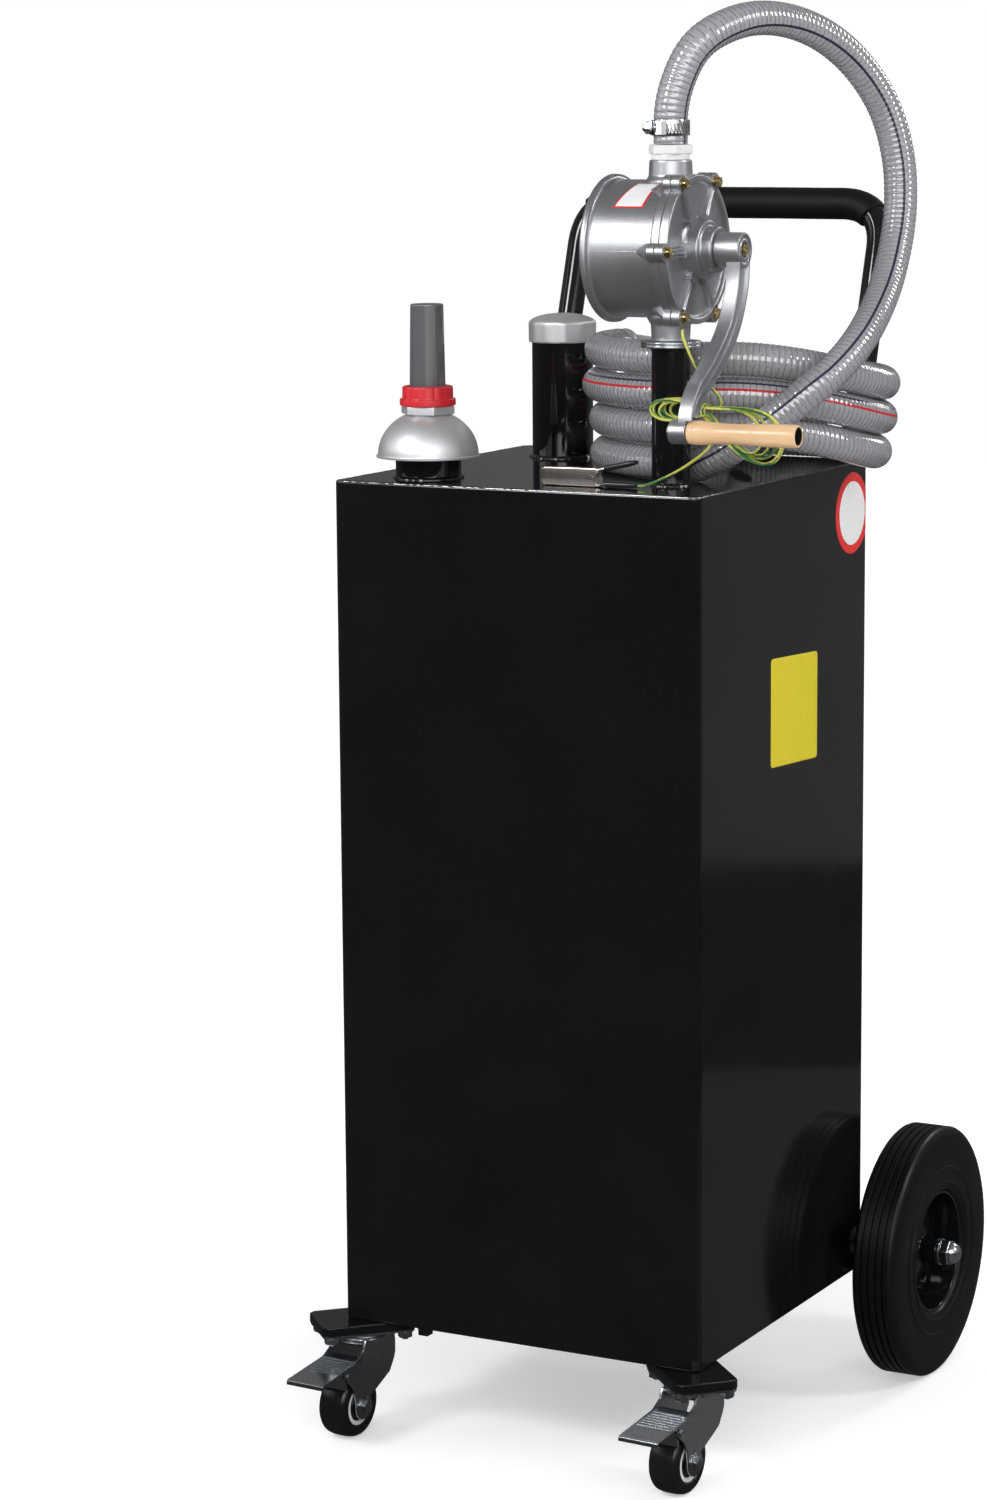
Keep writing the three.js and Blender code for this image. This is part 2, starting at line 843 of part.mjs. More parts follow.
// The dished rim, drawn with the wheel's outer side up +Z
function rearRim() {
  const outer = tyreBeadRadius - seam;
  const inner = outer - rimBarrel;
  const half = tyreWidth / 2 - rimBarrelInset;
  const bore = axleRadius + slip;
  const hubHalf = hubLength / 2;
  const root = -half / 2;
  const profile = [
    [bore, -hubHalf], [hubRadius, -hubHalf], [hubRadius, root + rimDish - rimWeb],
    [inner, root - rimWeb], [inner, -half], [outer, -half], [outer, half], [inner, half],
    [inner, root], [hubRadius, root + rimDish], [hubRadius, hubHalf], [bore, hubHalf], [bore, -hubHalf],
  ];
  const holes = polygon(rimHoleCircle, rimHoles, quarter).map(([x, y]) => (
    moved(rod(rimHoleRadius, -tyreWidth, tyreWidth, smallSides), x, y)
  ));
  return cut(turned(profile, fineSides), ...holes);
}

function rearWheel(side) {
  const name = side < 0 ? 'left' : 'right';
  const wheel = assembly(
    side * wheelX, axleY, axleZ,
    piece(`rear_tyre_${name}`, rearTyre(), rubber),
    piece(`rear_rim_${name}`, rearRim(), gloss),
  );
  wheel.rotation.y = side * quarter;
  return wheel;
}

// Casters, each drawn from the tank's underside down its own swivel axis

const plateTop = -bracketDepth - seam;
const plateLow = plateTop - plateThick;
const raceLow = plateLow - raceHeight;
const forkHigh = raceLow - slip;
const forkLow = forkHigh - forkTopThick;
const casterAxleZ = casterRadius - groundClearance;

function casterBracket() {
  const outer = slab(roundedOutline(bracketLength, bracketWidth, bracketCorner), -bracketDepth, -seam);
  const length = bracketLength - 2 * bracketSheet;
  const width = bracketWidth - 2 * bracketSheet;
  const inner = roundedOutline(length, width, bracketCorner - bracketSheet);
  return cut(outer, slab(inner, -bracketDepth - overrun, -bracketSheet));
}

// The plate with its swivel race and its four bolts
function casterPlate() {
  const base = slab(roundedOutline(plateLength, plateWidth, plateCorner), plateLow, plateTop);
  const race = rod(raceRadius, raceLow, plateLow + seam);
  const stud = join(
    rod(studRadius, plateLow - nutHeight - studEnd, -bracketSheet - seam, smallSides),
    hexagon(nutFlats, plateLow - nutHeight, plateLow + seam),
    rod(nutFlats / 2, plateTop - seam, plateTop + boltHeadHeight, smallSides),
  );
  const studs = [[-1, -1], [-1, 1], [1, -1], [1, 1]].map(([along, across]) => (
    moved(stud, along * boltSpacingLong / 2, across * boltSpacingWide / 2)
  ));
  return cut(join(base, race, ...studs), rod(kingPinRadius + slip, raceLow - overrun, plateTop + overrun));
}

// Pressed fork: two cheeks, a back wall and a round top with the king pin
function casterFork() {
  const half = forkGap / 2;
  const outerHalf = half + forkSheet;
  const drop = forkHigh - casterAxleZ;
  const foot = polygon(forkFoot, forkCornerSides).map(([y, z]) => [y - casterTrail, z + casterAxleZ]);
  const ear = polygon(forkEar, forkCornerSides).map(([y, z]) => [y - pedalPinAhead, z - pedalPinDrop]);
  const outline = [
    [-forkTopRadius, forkHigh], [forkTopRadius, forkHigh],
    ...forkBackShares.map(([out, down]) => [forkBack * out, forkHigh - drop * down]),
    foot[0], foot[7], foot[6], foot[5], foot[4], foot[3],
    ear[6], ear[5], ear[4], ear[3], ear[2],
    [-forkTopRadius - forkSheet, ear[2][1]],
  ];
  const outer = sideSlab(outline, -outerHalf, outerHalf);
  const farAhead = -2 * pedalPinAhead;
  const slotFront = block(-half, half, farAhead, forkBack - forkSheet, -groundClearance, forkLow);
  const slotBack = block(-half, half, farAhead, 2 * forkBack, -groundClearance, -pedalPinDrop);
  const across = (radius, y, z) => moved(alongX(rod(radius, -forkBack, forkBack, smallSides)), 0, y, z);
  const top = join(
    rod(forkTopRadius, forkLow, forkHigh),
    rod(kingPinRadius, forkLow, plateTop - seam, smallSides),
  );
  return join(cut(
    outer,
    slotFront,
    slotBack,
    across(casterAxleRadius + seam, -casterTrail, casterAxleZ),
    across(pedalPinRadius + slip, -pedalPinAhead, -pedalPinDrop),
  ), top);
}

function casterAxle() {
  const reach = forkGap / 2 + forkSheet;
  return moved(alongX(join(
    rod(casterAxleRadius, -reach - seam, reach + seam, smallSides),
    hexagon(nutFlats, reach + seam, reach + seam + casterBoltHead),
    hexagon(nutFlats, -reach - seam - casterBoltHead, -reach - seam),
  )), 0, -casterTrail, casterAxleZ);
}

function casterTyre() {
  const half = casterWidth / 2;
  const profile = [
    [casterHubRadius, -half + casterHubInset], [casterHubRadius + casterCrown, -half],
    [casterRadius - casterCrown, -half + casterCrown], [casterRadius, -half / 3],
    [casterRadius, half / 3], [casterRadius - casterCrown, half - casterCrown],
    [casterHubRadius + casterCrown, half], [casterHubRadius, half - casterHubInset],
  ];
  profile.push(profile[0]);
  return rolled(profile, fineSides);
}

function casterHub() {
  const half = casterWidth / 2 - casterHubInset;
  const bore = casterAxleRadius + slip;
  const outer = casterHubRadius - seam;
  const profile = [
    [bore, -half - casterHubInset], [casterCapRadius, -half - casterHubInset], [casterCapRadius, -half],
    [outer, -half], [outer, half], [casterCapRadius, half], [casterCapRadius, half + casterHubInset],
    [bore, half + casterHubInset],
  ];
  profile.push(profile[0]);
  return turned(profile);
}

// Brake pedal: a tread plate with a bent tip, a lug that comes down on the tyre, and its pin
function brakePedal() {
  const tread = sideSlab([
    [-pedalRear, -pedalRearDrop], [-pedalTip, -pedalTipDrop],
    [-pedalTip, -pedalTipDrop - pedalLip], [-pedalTip + pedalSheet, -pedalTipDrop - pedalLip],
    [-pedalTip + pedalSheet, -pedalTipDrop - pedalSheet], [-pedalRear, -pedalRearDrop - pedalSheet],
  ], -pedalWidth / 2, pedalWidth / 2);
  const slope = (pedalTipDrop - pedalRearDrop) / (pedalTip - pedalRear);
  const plateAt = (ahead) => -pedalRearDrop - pedalSheet / 2 - slope * (ahead - pedalRear);
  const back = pedalPinAhead - pedalLugHalf;
  const front = pedalPinAhead + pedalLugHalf;
  const lugHalf = forkGap / 2 - 2 * slip;
  const lug = sideSlab([
    [-back, plateAt(back)], [-front, plateAt(front)], [-front, -pedalPinDrop],
    [-pedalPinAhead, -pedalPinDrop - pedalLugDrop],
    [pedalLugBack - pedalPinAhead, -pedalPinDrop - pedalLugDrop], [-back, -pedalPinDrop],
  ], -lugHalf, lugHalf);
  const reach = forkGap / 2 + forkSheet + pedalSheet;
  const pin = alongX(rod(pedalPinRadius, -reach, reach, smallSides));
  return join(tread, lug, moved(pin, 0, -pedalPinAhead, -pedalPinDrop));
}

function caster(x, y, side) {
  const name = side < 0 ? 'left' : 'right';
  const mounting = assembly(
    0, 0, 0,
    piece(`caster_bracket_${name}`, casterBracket(), gloss),
    piece(`caster_plate_${name}`, casterPlate(), zinc),
  );
  mounting.rotation.z = -side * quarter / 2;
  const wheel = assembly(
    0, -casterTrail, casterAxleZ,
    piece(`caster_tyre_${name}`, casterTyre(), rubber),
    piece(`caster_hub_${name}`, casterHub(), whitePlastic),
  );
  wheel.rotation.y = quarter;
  const swivel = assembly(
    0, 0, 0,
    piece(`caster_fork_${name}`, casterFork(), zinc),
    piece(`caster_axle_${name}`, casterAxle(), zinc),
    piece(`brake_pedal_${name}`, brakePedal(), zinc),
    wheel,
  );
  swivel.rotation.z = casterTurn * degrees;
  return assembly(x, y, 0, mounting, swivel);
}

// Level gauge, from the tank's top up its own axis

const domeHoleAngle = Math.acos(domeHoleRadius / domeRadius);
const hexFrom = domeRimHeight + domeRise * Math.sin(domeHoleAngle) + seam;
const threadTop = hexFrom + hexHeight + threadHeight;

function gaugeDome() {
  const profile = [];
  const arc = (inset, from, to) => {
    for (let step = 0; step <= domeSteps; step += 1) {
      const angle = from + (to - from) * step / domeSteps;
      const height = domeRimHeight + (domeRise - inset) * Math.sin(angle);
      profile.push([(domeRadius - inset) * Math.cos(angle), height]);
    }
  };
  profile.push([domeRadius - domeWall, domeRimHeight - domeLip]);
  profile.push([domeRadius + domeWall, domeRimHeight - domeLip], [domeRadius + domeWall, domeRimHeight]);
  arc(0, 0, domeHoleAngle);
  arc(domeWall, Math.acos(domeHoleRadius / (domeRadius - domeWall)), 0);
  profile.push(profile[0]);
  return turned(profile, fineSides);
}

function gaugeBase() {
  const low = collarHeight + seam;
  const shoulder = hexFrom - baseShoulder;
  const core = turned([
    [0, low], [collarRadius - seam, low], [collarRadius - seam, low + plugFlange],
    [domeHoleRadius + collarWall, low + plugFlange], [domeHoleRadius + collarWall, shoulder],
    [stemRadius, shoulder], [stemRadius, hexFrom + hexHeight - overrun],
    [threadRadius, hexFrom + hexHeight - overrun], [threadRadius, threadTop], [0, threadTop],
  ]);
  const hex = hexagon(hexFlats, hexFrom, hexFrom + hexHeight);
  return cut(join(core, hex), rod(boreRadius, 0, threadTop + overrun, smallSides));
}

function lockRing() {
  const low = hexFrom + hexHeight + slip;
  const lip = threadTop + vialFlange + 2 * slip;
  const points = ringLobes * ringPointsPerLobe;
  const lobed = Array.from({ length: points }, (_, i) => {
    const angle = i * fullTurn / points;
    const radius = ringRadius + ringLobe * Math.cos(ringLobes * angle);
    return [radius * Math.cos(angle), radius * Math.sin(angle)];
  });
  return cut(
    join(slab(lobed, low, low + ringHeight), rod(ringFlangeRadius, low, low + ringFlangeHeight, points)),
    rod(threadRadius + slip, low - overrun, lip),
    rod(vialBaseRadius + slip, low, low + ringHeight + overrun),
  );
}

function levelVial() {
  const low = threadTop + slip;
  const foot = low + vialFlange;
  const top = foot + vialHeight;
  return turned([
    [vialBaseRadius - vialWall, low], [threadRadius - seam, low], [threadRadius - seam, foot],
    [vialBaseRadius, foot], [vialTopRadius, top], [0, top],
    [0, top - vialTop], [vialTopRadius - vialWall, top - vialTop], [vialBaseRadius - vialWall, low],
  ]);
}

// Float and rod; the rod's button rests on the base when the float hangs low
function levelFloat() {
  const buttonLow = threadTop + slip;
  const high = collarHeight - floatTravel - floatHeadroom;
  const low = high - floatHeight;
  return turned([
    [0, low], [floatRadius - floatRound, low], [floatRadius, low + floatRound],
    [floatRadius, high - floatRound], [floatRadius - floatRound, high],
    [rodRadius, high], [rodRadius, buttonLow], [buttonRadius, buttonLow],
    [buttonRadius, buttonLow + buttonHeight], [0, buttonLow + buttonHeight],
  ]);
}

// Filler cap, from the tank's top up the neck's axis

const neckTop = seam + fillerHeight;

function fillerCap() {
  const low = neckTop - capOverlap;
  const skirtTop = low + capSkirt;
  const ceiling = neckTop + 2 * slip + sealThick;
  const dome = turned([
    [0, skirtTop - overrun], [capRadius, skirtTop - overrun],
    ...capDomeShares.map(([out, up]) => [capRadius * out, skirtTop + capDome * up]),
    [0, skirtTop + capDome],
  ]);
  return cut(
    join(slab(polygon(capRadius, capFlats), low, skirtTop), dome),
    rod(fillerRadius + capClearance, low - overrun, ceiling, fineSides),
  );
}

function capSeal() {
  const low = neckTop + slip;
  return sleeve(fillerRadius - sealWidth, fillerRadius, low, low + sealThick, fineSides);
}

// Pump, drawn with its shaft along +Z and its upper port along -X, then turned to lie along +X

const portLow = pumpAxisRise - riserHeight - pumpFlangeThick - 3 * seam;

function pumpFlange() {
  const low = seam + riserHeight + seam;
  return sleeve(suctionRadius + slip, pumpFlangeRadius, low, low + pumpFlangeThick);
}

function lobes(low, high) {
  return polygon(lobeCircle, lobeCount, quarter).map(([x, y]) => (
    moved(rod(lobeRadius, low, high, smallSides), x, y)
  ));
}

function boltHoles() {
  return polygon(lobeCircle, lobeCount, quarter).map(([x, y]) => (
    moved(rod(coverBoltRadius + coverBoltFit, -pumpBack, pumpBack, smallSides), x, y)
  ));
}

function pumpHousing() {
  const lipEnd = pumpRimLength - pumpBack;
  const flangeStart = pumpFront - pumpFlangeLength;
  const body = turned([
    [0, -pumpBack], [pumpRimRadius - pumpGroove, -pumpBack], [pumpRimRadius, pumpGroove - pumpBack],
    [pumpRimRadius, lipEnd - pumpGroove], [pumpRadius + pumpGroove, lipEnd],
    [pumpRadius, lipEnd + pumpGroove], [pumpRadius, flangeStart - pumpGroove],
    [pumpRimRadius, flangeStart], [pumpRimRadius, pumpFront], [0, pumpFront],
  ], fineSides);
  const up = (radius, from, to) => turnedAbout(rod(radius, from, to), axisY, -quarter);
  const chamber = moved(rod(chamberRadius, pumpBackWall - pumpBack, pumpFront + overrun, fineSides),
    -chamberOffset);
  return cut(
    join(
      body,
      ...lobes(flangeStart, pumpFront),
      up(upperPortRadius, chamberRadius, upperPortTop),
      up(lowerPortRadius, -portLow, -chamberRadius),
    ),
    chamber,
    up(portBore, -portLow - overrun, upperPortTop + overrun),
    ...boltHoles(),
  );
}

const coverLow = pumpFront + seam;
const coverHigh = coverLow + coverThick;
const glandTop = coverHigh + bossHeight + glandHeight;

// The front cover with its six bolts
function pumpCover() {
  const face = turned([
    [0, coverLow], [pumpRimRadius, coverLow], [pumpRimRadius, coverHigh + coverRim],
    [pumpRimRadius - coverRimWidth, coverHigh + coverRim], [pumpRimRadius - coverRimWidth, coverHigh],
    [bossRadius, coverHigh], [bossRadius, coverHigh + bossHeight], [glandRadius, coverHigh + bossHeight],
    [glandRadius, glandTop], [0, glandTop],
  ], fineSides);
  const ribs = polygon(1, lobeCount, quarter).map((_, i) => {
    const rib = block(0, lobeCircle, -ribWidth / 2, ribWidth / 2, coverLow + seam, coverHigh + ribHeight);
    return turnedAbout(rib, axisZ, quarter + i * fullTurn / lobeCount);
  });
  const seat = coverHigh + coverRim;
  const bolt = join(
    rod(coverBoltRadius, seat - coverBoltDepth, seat, smallSides),
    hexagon(coverBoltFlats, seat - seam, seat + coverBoltHead),
  );
  const bolts = polygon(lobeCircle, lobeCount, quarter).map(([x, y]) => moved(bolt, x, y));
  return cut(
    join(face, ...ribs, ...lobes(coverLow, seat), ...bolts),
    rod(shaftRadius + shaftFit, 0, glandTop + overrun),
  );
}

const hubFrom = glandTop + slip;
const hubTo = hubFrom + crankHubLength;
const shaftEnd = hubTo - crankScrewPocket;
const vaneTop = pumpFront - rotorFace;

// A blade right through the rotor, or the slot for it
function vane(fit, halfLength, low) {
  const half = vaneThick / 2 + fit;
  return block(-half, half, -halfLength, halfLength, low, vaneTop + fit);
}

const rotorLow = pumpBackWall - pumpBack + slip;

function pumpRotor() {
  const core = join(
    rod(rotorRadius, rotorLow, pumpFront - slip, fineSides),
    rod(shaftRadius, pumpFront - overrun, shaftEnd - slip),
  );
  const screwHole = rod(crankScrewShank + slip, shaftEnd - crankScrewDepth - overrun, shaftEnd, smallSides);
  return cut(core, vane(vaneFit, rotorRadius + overrun, rotorLow - overrun), screwHole);
}

// Cast crank arm, an I section that bends forwards on its way down
function crankArm() {
  const forward = (point) => new THREE.Vector3(crankReach * point[1], -crankReach * point[0], 0);
  const curve = new THREE.CatmullRomCurve3(crankArmShares.map(forward), false, 'centripetal');
  const sides = (inset) => {
    const left = [];
    const right = [];
    for (let i = 0; i <= crankArmSteps; i += 1) {
      const share = i / crankArmSteps;
      const at = curve.getPointAt(share);
      const along = curve.getTangentAt(share);
      const half = crankArmRootHalf + (crankArmTipHalf - crankArmRootHalf) * share - inset;
      left.push([at.x - along.y * half, at.y + along.x * half]);
      right.unshift([at.x + along.y * half, at.y - along.x * half]);
    }
    return left.concat(right);
  };
  const low = hubTo - crankArmThick;
  const pinBossLow = hubTo - crankPinBossInset - crankPinBossLength;
  const end = forward(crankArmShares[crankArmShares.length - 1]);
  const body = join(
    slab(sides(0), low, hubTo),
    rod(crankHubRadius, hubFrom, hubTo),
    moved(rod(crankPinBossRadius, pinBossLow, pinBossLow + crankPinBossLength), end.x, end.y),
  );
  const pockets = [
    cut(slab(sides(crankFlange), hubTo - crankPocket, hubTo + overrun), rod(crankHubRadius, 0, 2 * hubTo)),
    cut(slab(sides(crankFlange), low - overrun, low + crankPocket), rod(crankHubRadius, 0, 2 * hubTo)),
  ].map((pocket) => cut(pocket, moved(rod(crankPinBossRadius, 0, 2 * hubTo), end.x, end.y)));
  return cut(
    body,
    ...pockets,
    moved(rod(crankPinBossRadius + crankFlange, pinBossLow + crankPinBossLength, 2 * hubTo), end.x, end.y),
    rod(shaftRadius + seam, hubFrom - overrun, shaftEnd),
    rod(crankScrewRadius + slip, shaftEnd - seam, hubTo + overrun),
    moved(rod(crankPinRadius + seam, pinBossLow - overrun, hubTo + overrun, smallSides), end.x, end.y),
  );
}

const gripX = crankReach * crankArmShares[crankArmShares.length - 1][1];
const gripY = -crankReach * crankArmShares[crankArmShares.length - 1][0];
const pinBossTop = hubTo - crankPinBossInset;
const gripFrom = pinBossTop + 2 * slip;

function crankScrew() {
  return join(
    rod(crankScrewShank, shaftEnd - crankScrewDepth, shaftEnd + seam, smallSides),
    hexagon(crankScrewFlats, shaftEnd + seam / 2, shaftEnd + crankScrewHead),
  );
}

function crankPin() {
  const headFrom = gripFrom + gripLength - gripBoreDepth + slip;
  const tail = pinBossTop - crankPinBossLength - seam;
  return join(
    rod(crankPinRadius, tail - pinHeadHeight / 2, headFrom + seam, smallSides),
    rod(pinHeadRadius, headFrom, headFrom + pinHeadHeight, smallSides),
    rod(pinHeadRadius, tail - pinHeadHeight, tail, smallSides),
  );
}

function crankGrip() {
  const at = (share) => gripFrom + gripLength * share;
  const groove = gripLength * gripGrooveWidthShare;
  const bulge = gripSwellRadius - gripGroove;
  return turned([
    [crankPinRadius + gripFit, at(0)], [gripEndRadius - gripGroove, at(0)],
    [gripEndRadius, at(0) + gripGroove], [gripSwellRadius, at(gripSwellShare)],
    [(gripSwellRadius + gripWaistRadius) / 2, at((gripSwellShare + gripWaistShare) / 2)],
    [gripWaistRadius, at(gripWaistShare)],
    [(bulge + gripWaistRadius) / 2, at(gripGrooveShare) - groove],
    [(bulge + gripWaistRadius) / 2 - gripGroove, at(gripGrooveShare)],
    [(bulge + gripWaistRadius) / 2 + gripGroove / 2, at(gripGrooveShare) + groove],
    [bulge, at(gripBulgeShare)], [gripEndRadius, at(1) - gripGroove], [gripEndRadius - gripGroove, at(1)],
    [gripBore, at(1)], [gripBore, at(1) - gripBoreDepth],
    [crankPinRadius + gripFit, at(1) - gripBoreDepth], [crankPinRadius + gripFit, at(0)],
  ]);
}

function pump() {
  const grip = assembly(gripX, gripY, 0,
    piece('crank_pin', crankPin(), steel),
    piece('crank_grip', crankGrip(), wood));
  const group = assembly(
    riserX, riserY, pumpZ,
    piece('pump_housing', pumpHousing(), castMetal),
    piece('pump_cover', pumpCover(), castMetal),
    piece('pump_rotor', pumpRotor(), steel),
    piece('pump_vane', vane(0, rotorRadius + vaneReach, rotorLow), steel),
    piece('crank_arm', crankArm(), castMetal),
    piece('crank_screw', crankScrew(), brass),
    grip,
  );
  group.rotation.y = quarter;
  return group;
}

// Outlet fitting and the clamp on the hose's lower end, from the shaft's axis up

const outletFrom = upperPortTop + seam;
const hoseFrom = outletFrom + tapeHeight + outletHeight + slip;

function outletFitting() {
  return cut(
    join(
      rod(portBore - outletFit, outletFrom - tapeRadius, outletFrom + seam),
      rod(tapeRadius, outletFrom, outletFrom + tapeHeight + seam),
      hexagon(outletFlats, outletFrom + tapeHeight, hoseFrom - slip),
    ),
    rod(portBore - outletFit - suctionWall, outletFrom - 2 * tapeRadius, hoseFrom + overrun),
  );
}

function hoseClamp() {
  const low = hoseFrom + clampLift;
  const high = low + clampWidth;
  const inner = hoseRadius + clampFit;
  const outer = inner + clampBand;
  const middle = (low + high) / 2;
  const housing = block(-outer - clampHousingDepth, -inner - seam, -clampHousing / 2, clampHousing / 2,
    low + clampBand, high - clampBand);
  const screw = moved(alongY(rod(clampScrewRadius, -clampHousing / 2 - clampScrewHead,
    clampHousing / 2 + clampScrewHead / 2, smallSides)), -outer - clampHousingDepth / 2, 0, middle);
  const body = join(sleeve(inner, outer, low, high, roundSides), housing, screw);
  return turnedAbout(body, axisZ, clampTurn * degrees);
}

// Hose: a free arch from the pump over to the coil, then the coil, then its spout

const coilX = sideX - coilFromRight;
const coilY = rearY - coilFromRear;
const coilZ = tankHeight + coilFloorGap + hoseRadius;

function coilPoint(angle) {
  const passed = (coilEntryAngle - angle) / wholeTurn;
  const first = (coilEntryAngle - wholeTurn / 2) / wholeTurn;
  const shares = [0, first, first + 1, first + 2, first + 3];
  const radii = [coilEntryRadius, ...coilTurnRadii];
  let radius = radii[radii.length - 1];
  for (let i = 0; i + 1 < radii.length; i += 1) {
    if (passed >= shares[i] && passed < shares[i + 1]) {
      const share = (passed - shares[i]) / (shares[i + 1] - shares[i]);
      radius = radii[i] + (radii[i + 1] - radii[i]) * share;
    }
  }
  let climbed = 0;
  for (let turn = 0; turn < coilTurnRadii.length - 1; turn += 1) {
    const start = coilClimbStart - wholeTurn * turn;
    climbed += stepBetween((start - angle) / (coilClimbStart - coilClimbEnd));
  }
  return new THREE.Vector3(
    coilX + radius * Math.cos(angle * degrees),
    coilY + radius * Math.sin(angle * degrees),
    coilZ + coilPitch * climbed,
  );
}

const coilLastAngle = coilExitAngle - wholeTurn * (coilTurnRadii.length - 1);
const coilCount = Math.round((coilEntryAngle - coilLastAngle) / wholeTurn * coilSteps);
const coilAngles = Array.from({ length: coilCount + 1 }, (_, i) => (
  coilEntryAngle + (coilLastAngle - coilEntryAngle) * i / coilCount
));
// One degree in from each end there is one more point, so that the end faces are square
coilAngles.splice(1, 0, coilEntryAngle - 1);
coilAngles.splice(-1, 0, coilLastAngle + 1);
const coilPoints = coilAngles.map(coilPoint);
const coilStart = coilPoints[0];
const coilEnd = coilPoints[coilPoints.length - 1];
const coilLeastGap = leastGap(coilPoints, hoseRadius, coilSteps / 2);
console.log('Least gap of the coil to itself, mm:', coilLeastGap.toFixed(2));

// Points of the arch, from the outlet to where it joins the coil
const archPoints = [
  [121, -107, 1132.2],
  [121, -107, 1150],
  [122, -107, 1165],
  [126, -104, 1186],
  [136, -96, 1212.8],
  [147, -84, 1228.5],
  [166, -44, 1243.4],
  [185, 6, 1243],
  [205, 52, 1227.6],
  [223, 90, 1199.1],
  [239, 113, 1161.2],
  [249.5, 122, 1115.3],
  [254, 117, 1065],
  [257.5, 84, 1009],
  [264, 26, 968],
  [262, -12, 943],
  [251, -40, 921],
  [238.8, -56, 907.5],
  [214, -71, 885],
  [190, -80, 867],
  [168, -83.5, 852],
  [150, -79.5, 843],
];

function hoseArch() {
  const away = coilPoints[0].clone().sub(coilPoints[1]).normalize();
  const lead = [hoseRadius * 2, hoseRadius, slip].map((length) => (
    coilStart.clone().addScaledVector(away, length)
  ));
  const curve = spline([...archPoints, ...lead.map((point) => point.toArray())]);
  return tube(curve, hoseRadius, 0, hoseSteps, hoseSides);
}

function hoseCoil() {
  return wound(coilPoints, hoseRadius, coilSides, quarter / 3);
}

// Points of the spout, from the coil's upper end over its ring and down inside it
const spoutPoints = [
  [-24.5, 98, 933],
  [-17, 111.5, 930.5],
  [2, 122, 926],
  [25, 128, 915],
  [45, 130, 900],
  [62, 128, 880],
  [78, 122.5, 853],
  [88, 118.5, 834],
];

function hoseSpout() {
  const away = coilEnd.clone().sub(coilPoints[coilPoints.length - 2]).normalize();
  const start = coilEnd.clone().addScaledVector(away, slip);
  const straight = start.clone().addScaledVector(away, spoutCollarLength);
  const curve = spline([start.toArray(), straight.toArray(), ...spoutPoints]);
  const pipe = tube(curve, spoutRadius, spoutRadius - spoutWall, spoutSteps, spoutSides);
  const heading = new THREE.Quaternion().setFromUnitVectors(axisZ, away);
  const collar = sleeve(spoutRadius - spoutWall, spoutCollarRadius, 0, spoutCollarLength)
    .applyQuaternion(heading).translate(start.x, start.y, start.z);
  return join(pipe, collar);
}

// Earth wire: a drop from the pump's bolt, a tied hank and a lead to the clamp

const hankX = 173;
const hankY = -129;
const hankZ = 893;

function hankPoint(turn) {
  const angle = turn * fullTurn;
  const grown = hankSmallest + (1 - hankSmallest) * (1 + Math.cos(hankUnevenness * turn)) / 2;
  const across = Math.cos(angle);
  const share = Math.abs(across) * grown;
  const x = across * grown * (across < 0 ? hankLeft : hankRight);
  const rise = hankWaist + (across < 0 ? hankLeftRise : hankRightRise) * share;
  const sag = across > 0 ? hankSag * share * (2 - share) : 0;
  return new THREE.Vector3(hankX + x, hankY - hankPitch * turn, hankZ + rise * Math.sin(angle) - sag);
}

const hankFirst = 1 / 4;
const hankLast = hankLoops - 1 / 4;
const hankCount = (hankLast - hankFirst) * hankSteps;
const hankPoints = Array.from({ length: hankCount + 1 }, (_, i) => hankPoint(hankFirst + i / hankSteps));
const hankLeastGap = leastGap(hankPoints, wireRadius, hankSteps / 2);
console.log('Least gap of the hank to itself, mm:', hankLeastGap.toFixed(2));

function earthWireHank() {
  return wound(hankPoints, wireRadius, hankSides);
}

// Points of the wire from the pump's bolt down towards the hank
const dropPoints = [
  [151.5, -146, 966],
  [153, -148.5, 961],
  [158, -149.5, 950],
  [166, -147, 933],
  [175, -141, 917],
  [182, -134, 906],
  [183, -130.5, 899.5],
];

// Points of the wire from near the hank down to the jaws' sleeve
const leadPoints = [
  [182, -150, 888],
  [187, -151, 882],
  [187, -152, 872],
  [180, -152, 860],
  [165, -151, 848],
  [145, -149.5, 836],
  [128, -149, 828],
];

// A stretch of wire through the points, with a straight end of one diameter beside the hank
function earthWireDrop() {
  const end = hankPoints[0];
  const away = end.clone().sub(hankPoints[1]).normalize();
  const ends = [4 * wireRadius, slip].map((length) => end.clone().addScaledVector(away, length).toArray());
  return tube(spline([...dropPoints, ...ends]), wireRadius, 0, wireDropSteps, wireSides);
}

function earthWireLead() {
  const start = hankPoints[hankPoints.length - 1];
  const away = start.clone().sub(hankPoints[hankPoints.length - 2]).normalize();
  const first = [slip, 4 * wireRadius].map((length) => start.clone().addScaledVector(away, length).toArray());
  const last = [4 * wireRadius, slip].map((length) => (
    [jawPinX + tailReach + sleeveOver + length, jawPinY, jawPinZ - lowerTailTo]
  ));
  return tube(spline([...first, ...leadPoints, ...last]), wireRadius, 0, wireLeadSteps, wireSides);
}

// The band that ties the hank round its waist
function wireTie() {
  const middle = hankY - hankPitch * (hankFirst + hankLast) / 2;
  const depth = hankPitch * (hankLast - hankFirst) + 2 * (wireRadius + slip);
  const height = 2 * (hankWaist + wireRadius + tieFit);
  const corner = wireRadius + slip;
  const outer = roundedOutline(height + 2 * tieThick, depth + 2 * tieThick, corner + tieThick);
  const ring = cut(
    slab(outer, -tieWidth / 2, tieWidth / 2),
    slab(roundedOutline(height, depth, corner), -tieWidth, tieWidth),
  );
  return moved(alongX(ring), hankX, middle, hankZ);
}

// Alligator clamp, drawn from its pin with the jaws towards -X, lying on the tank's top

const jawPinX = 62;
const jawPinY = -149;
const jawPinZ = tankHeight + slip + jawHeight + slip / 2;

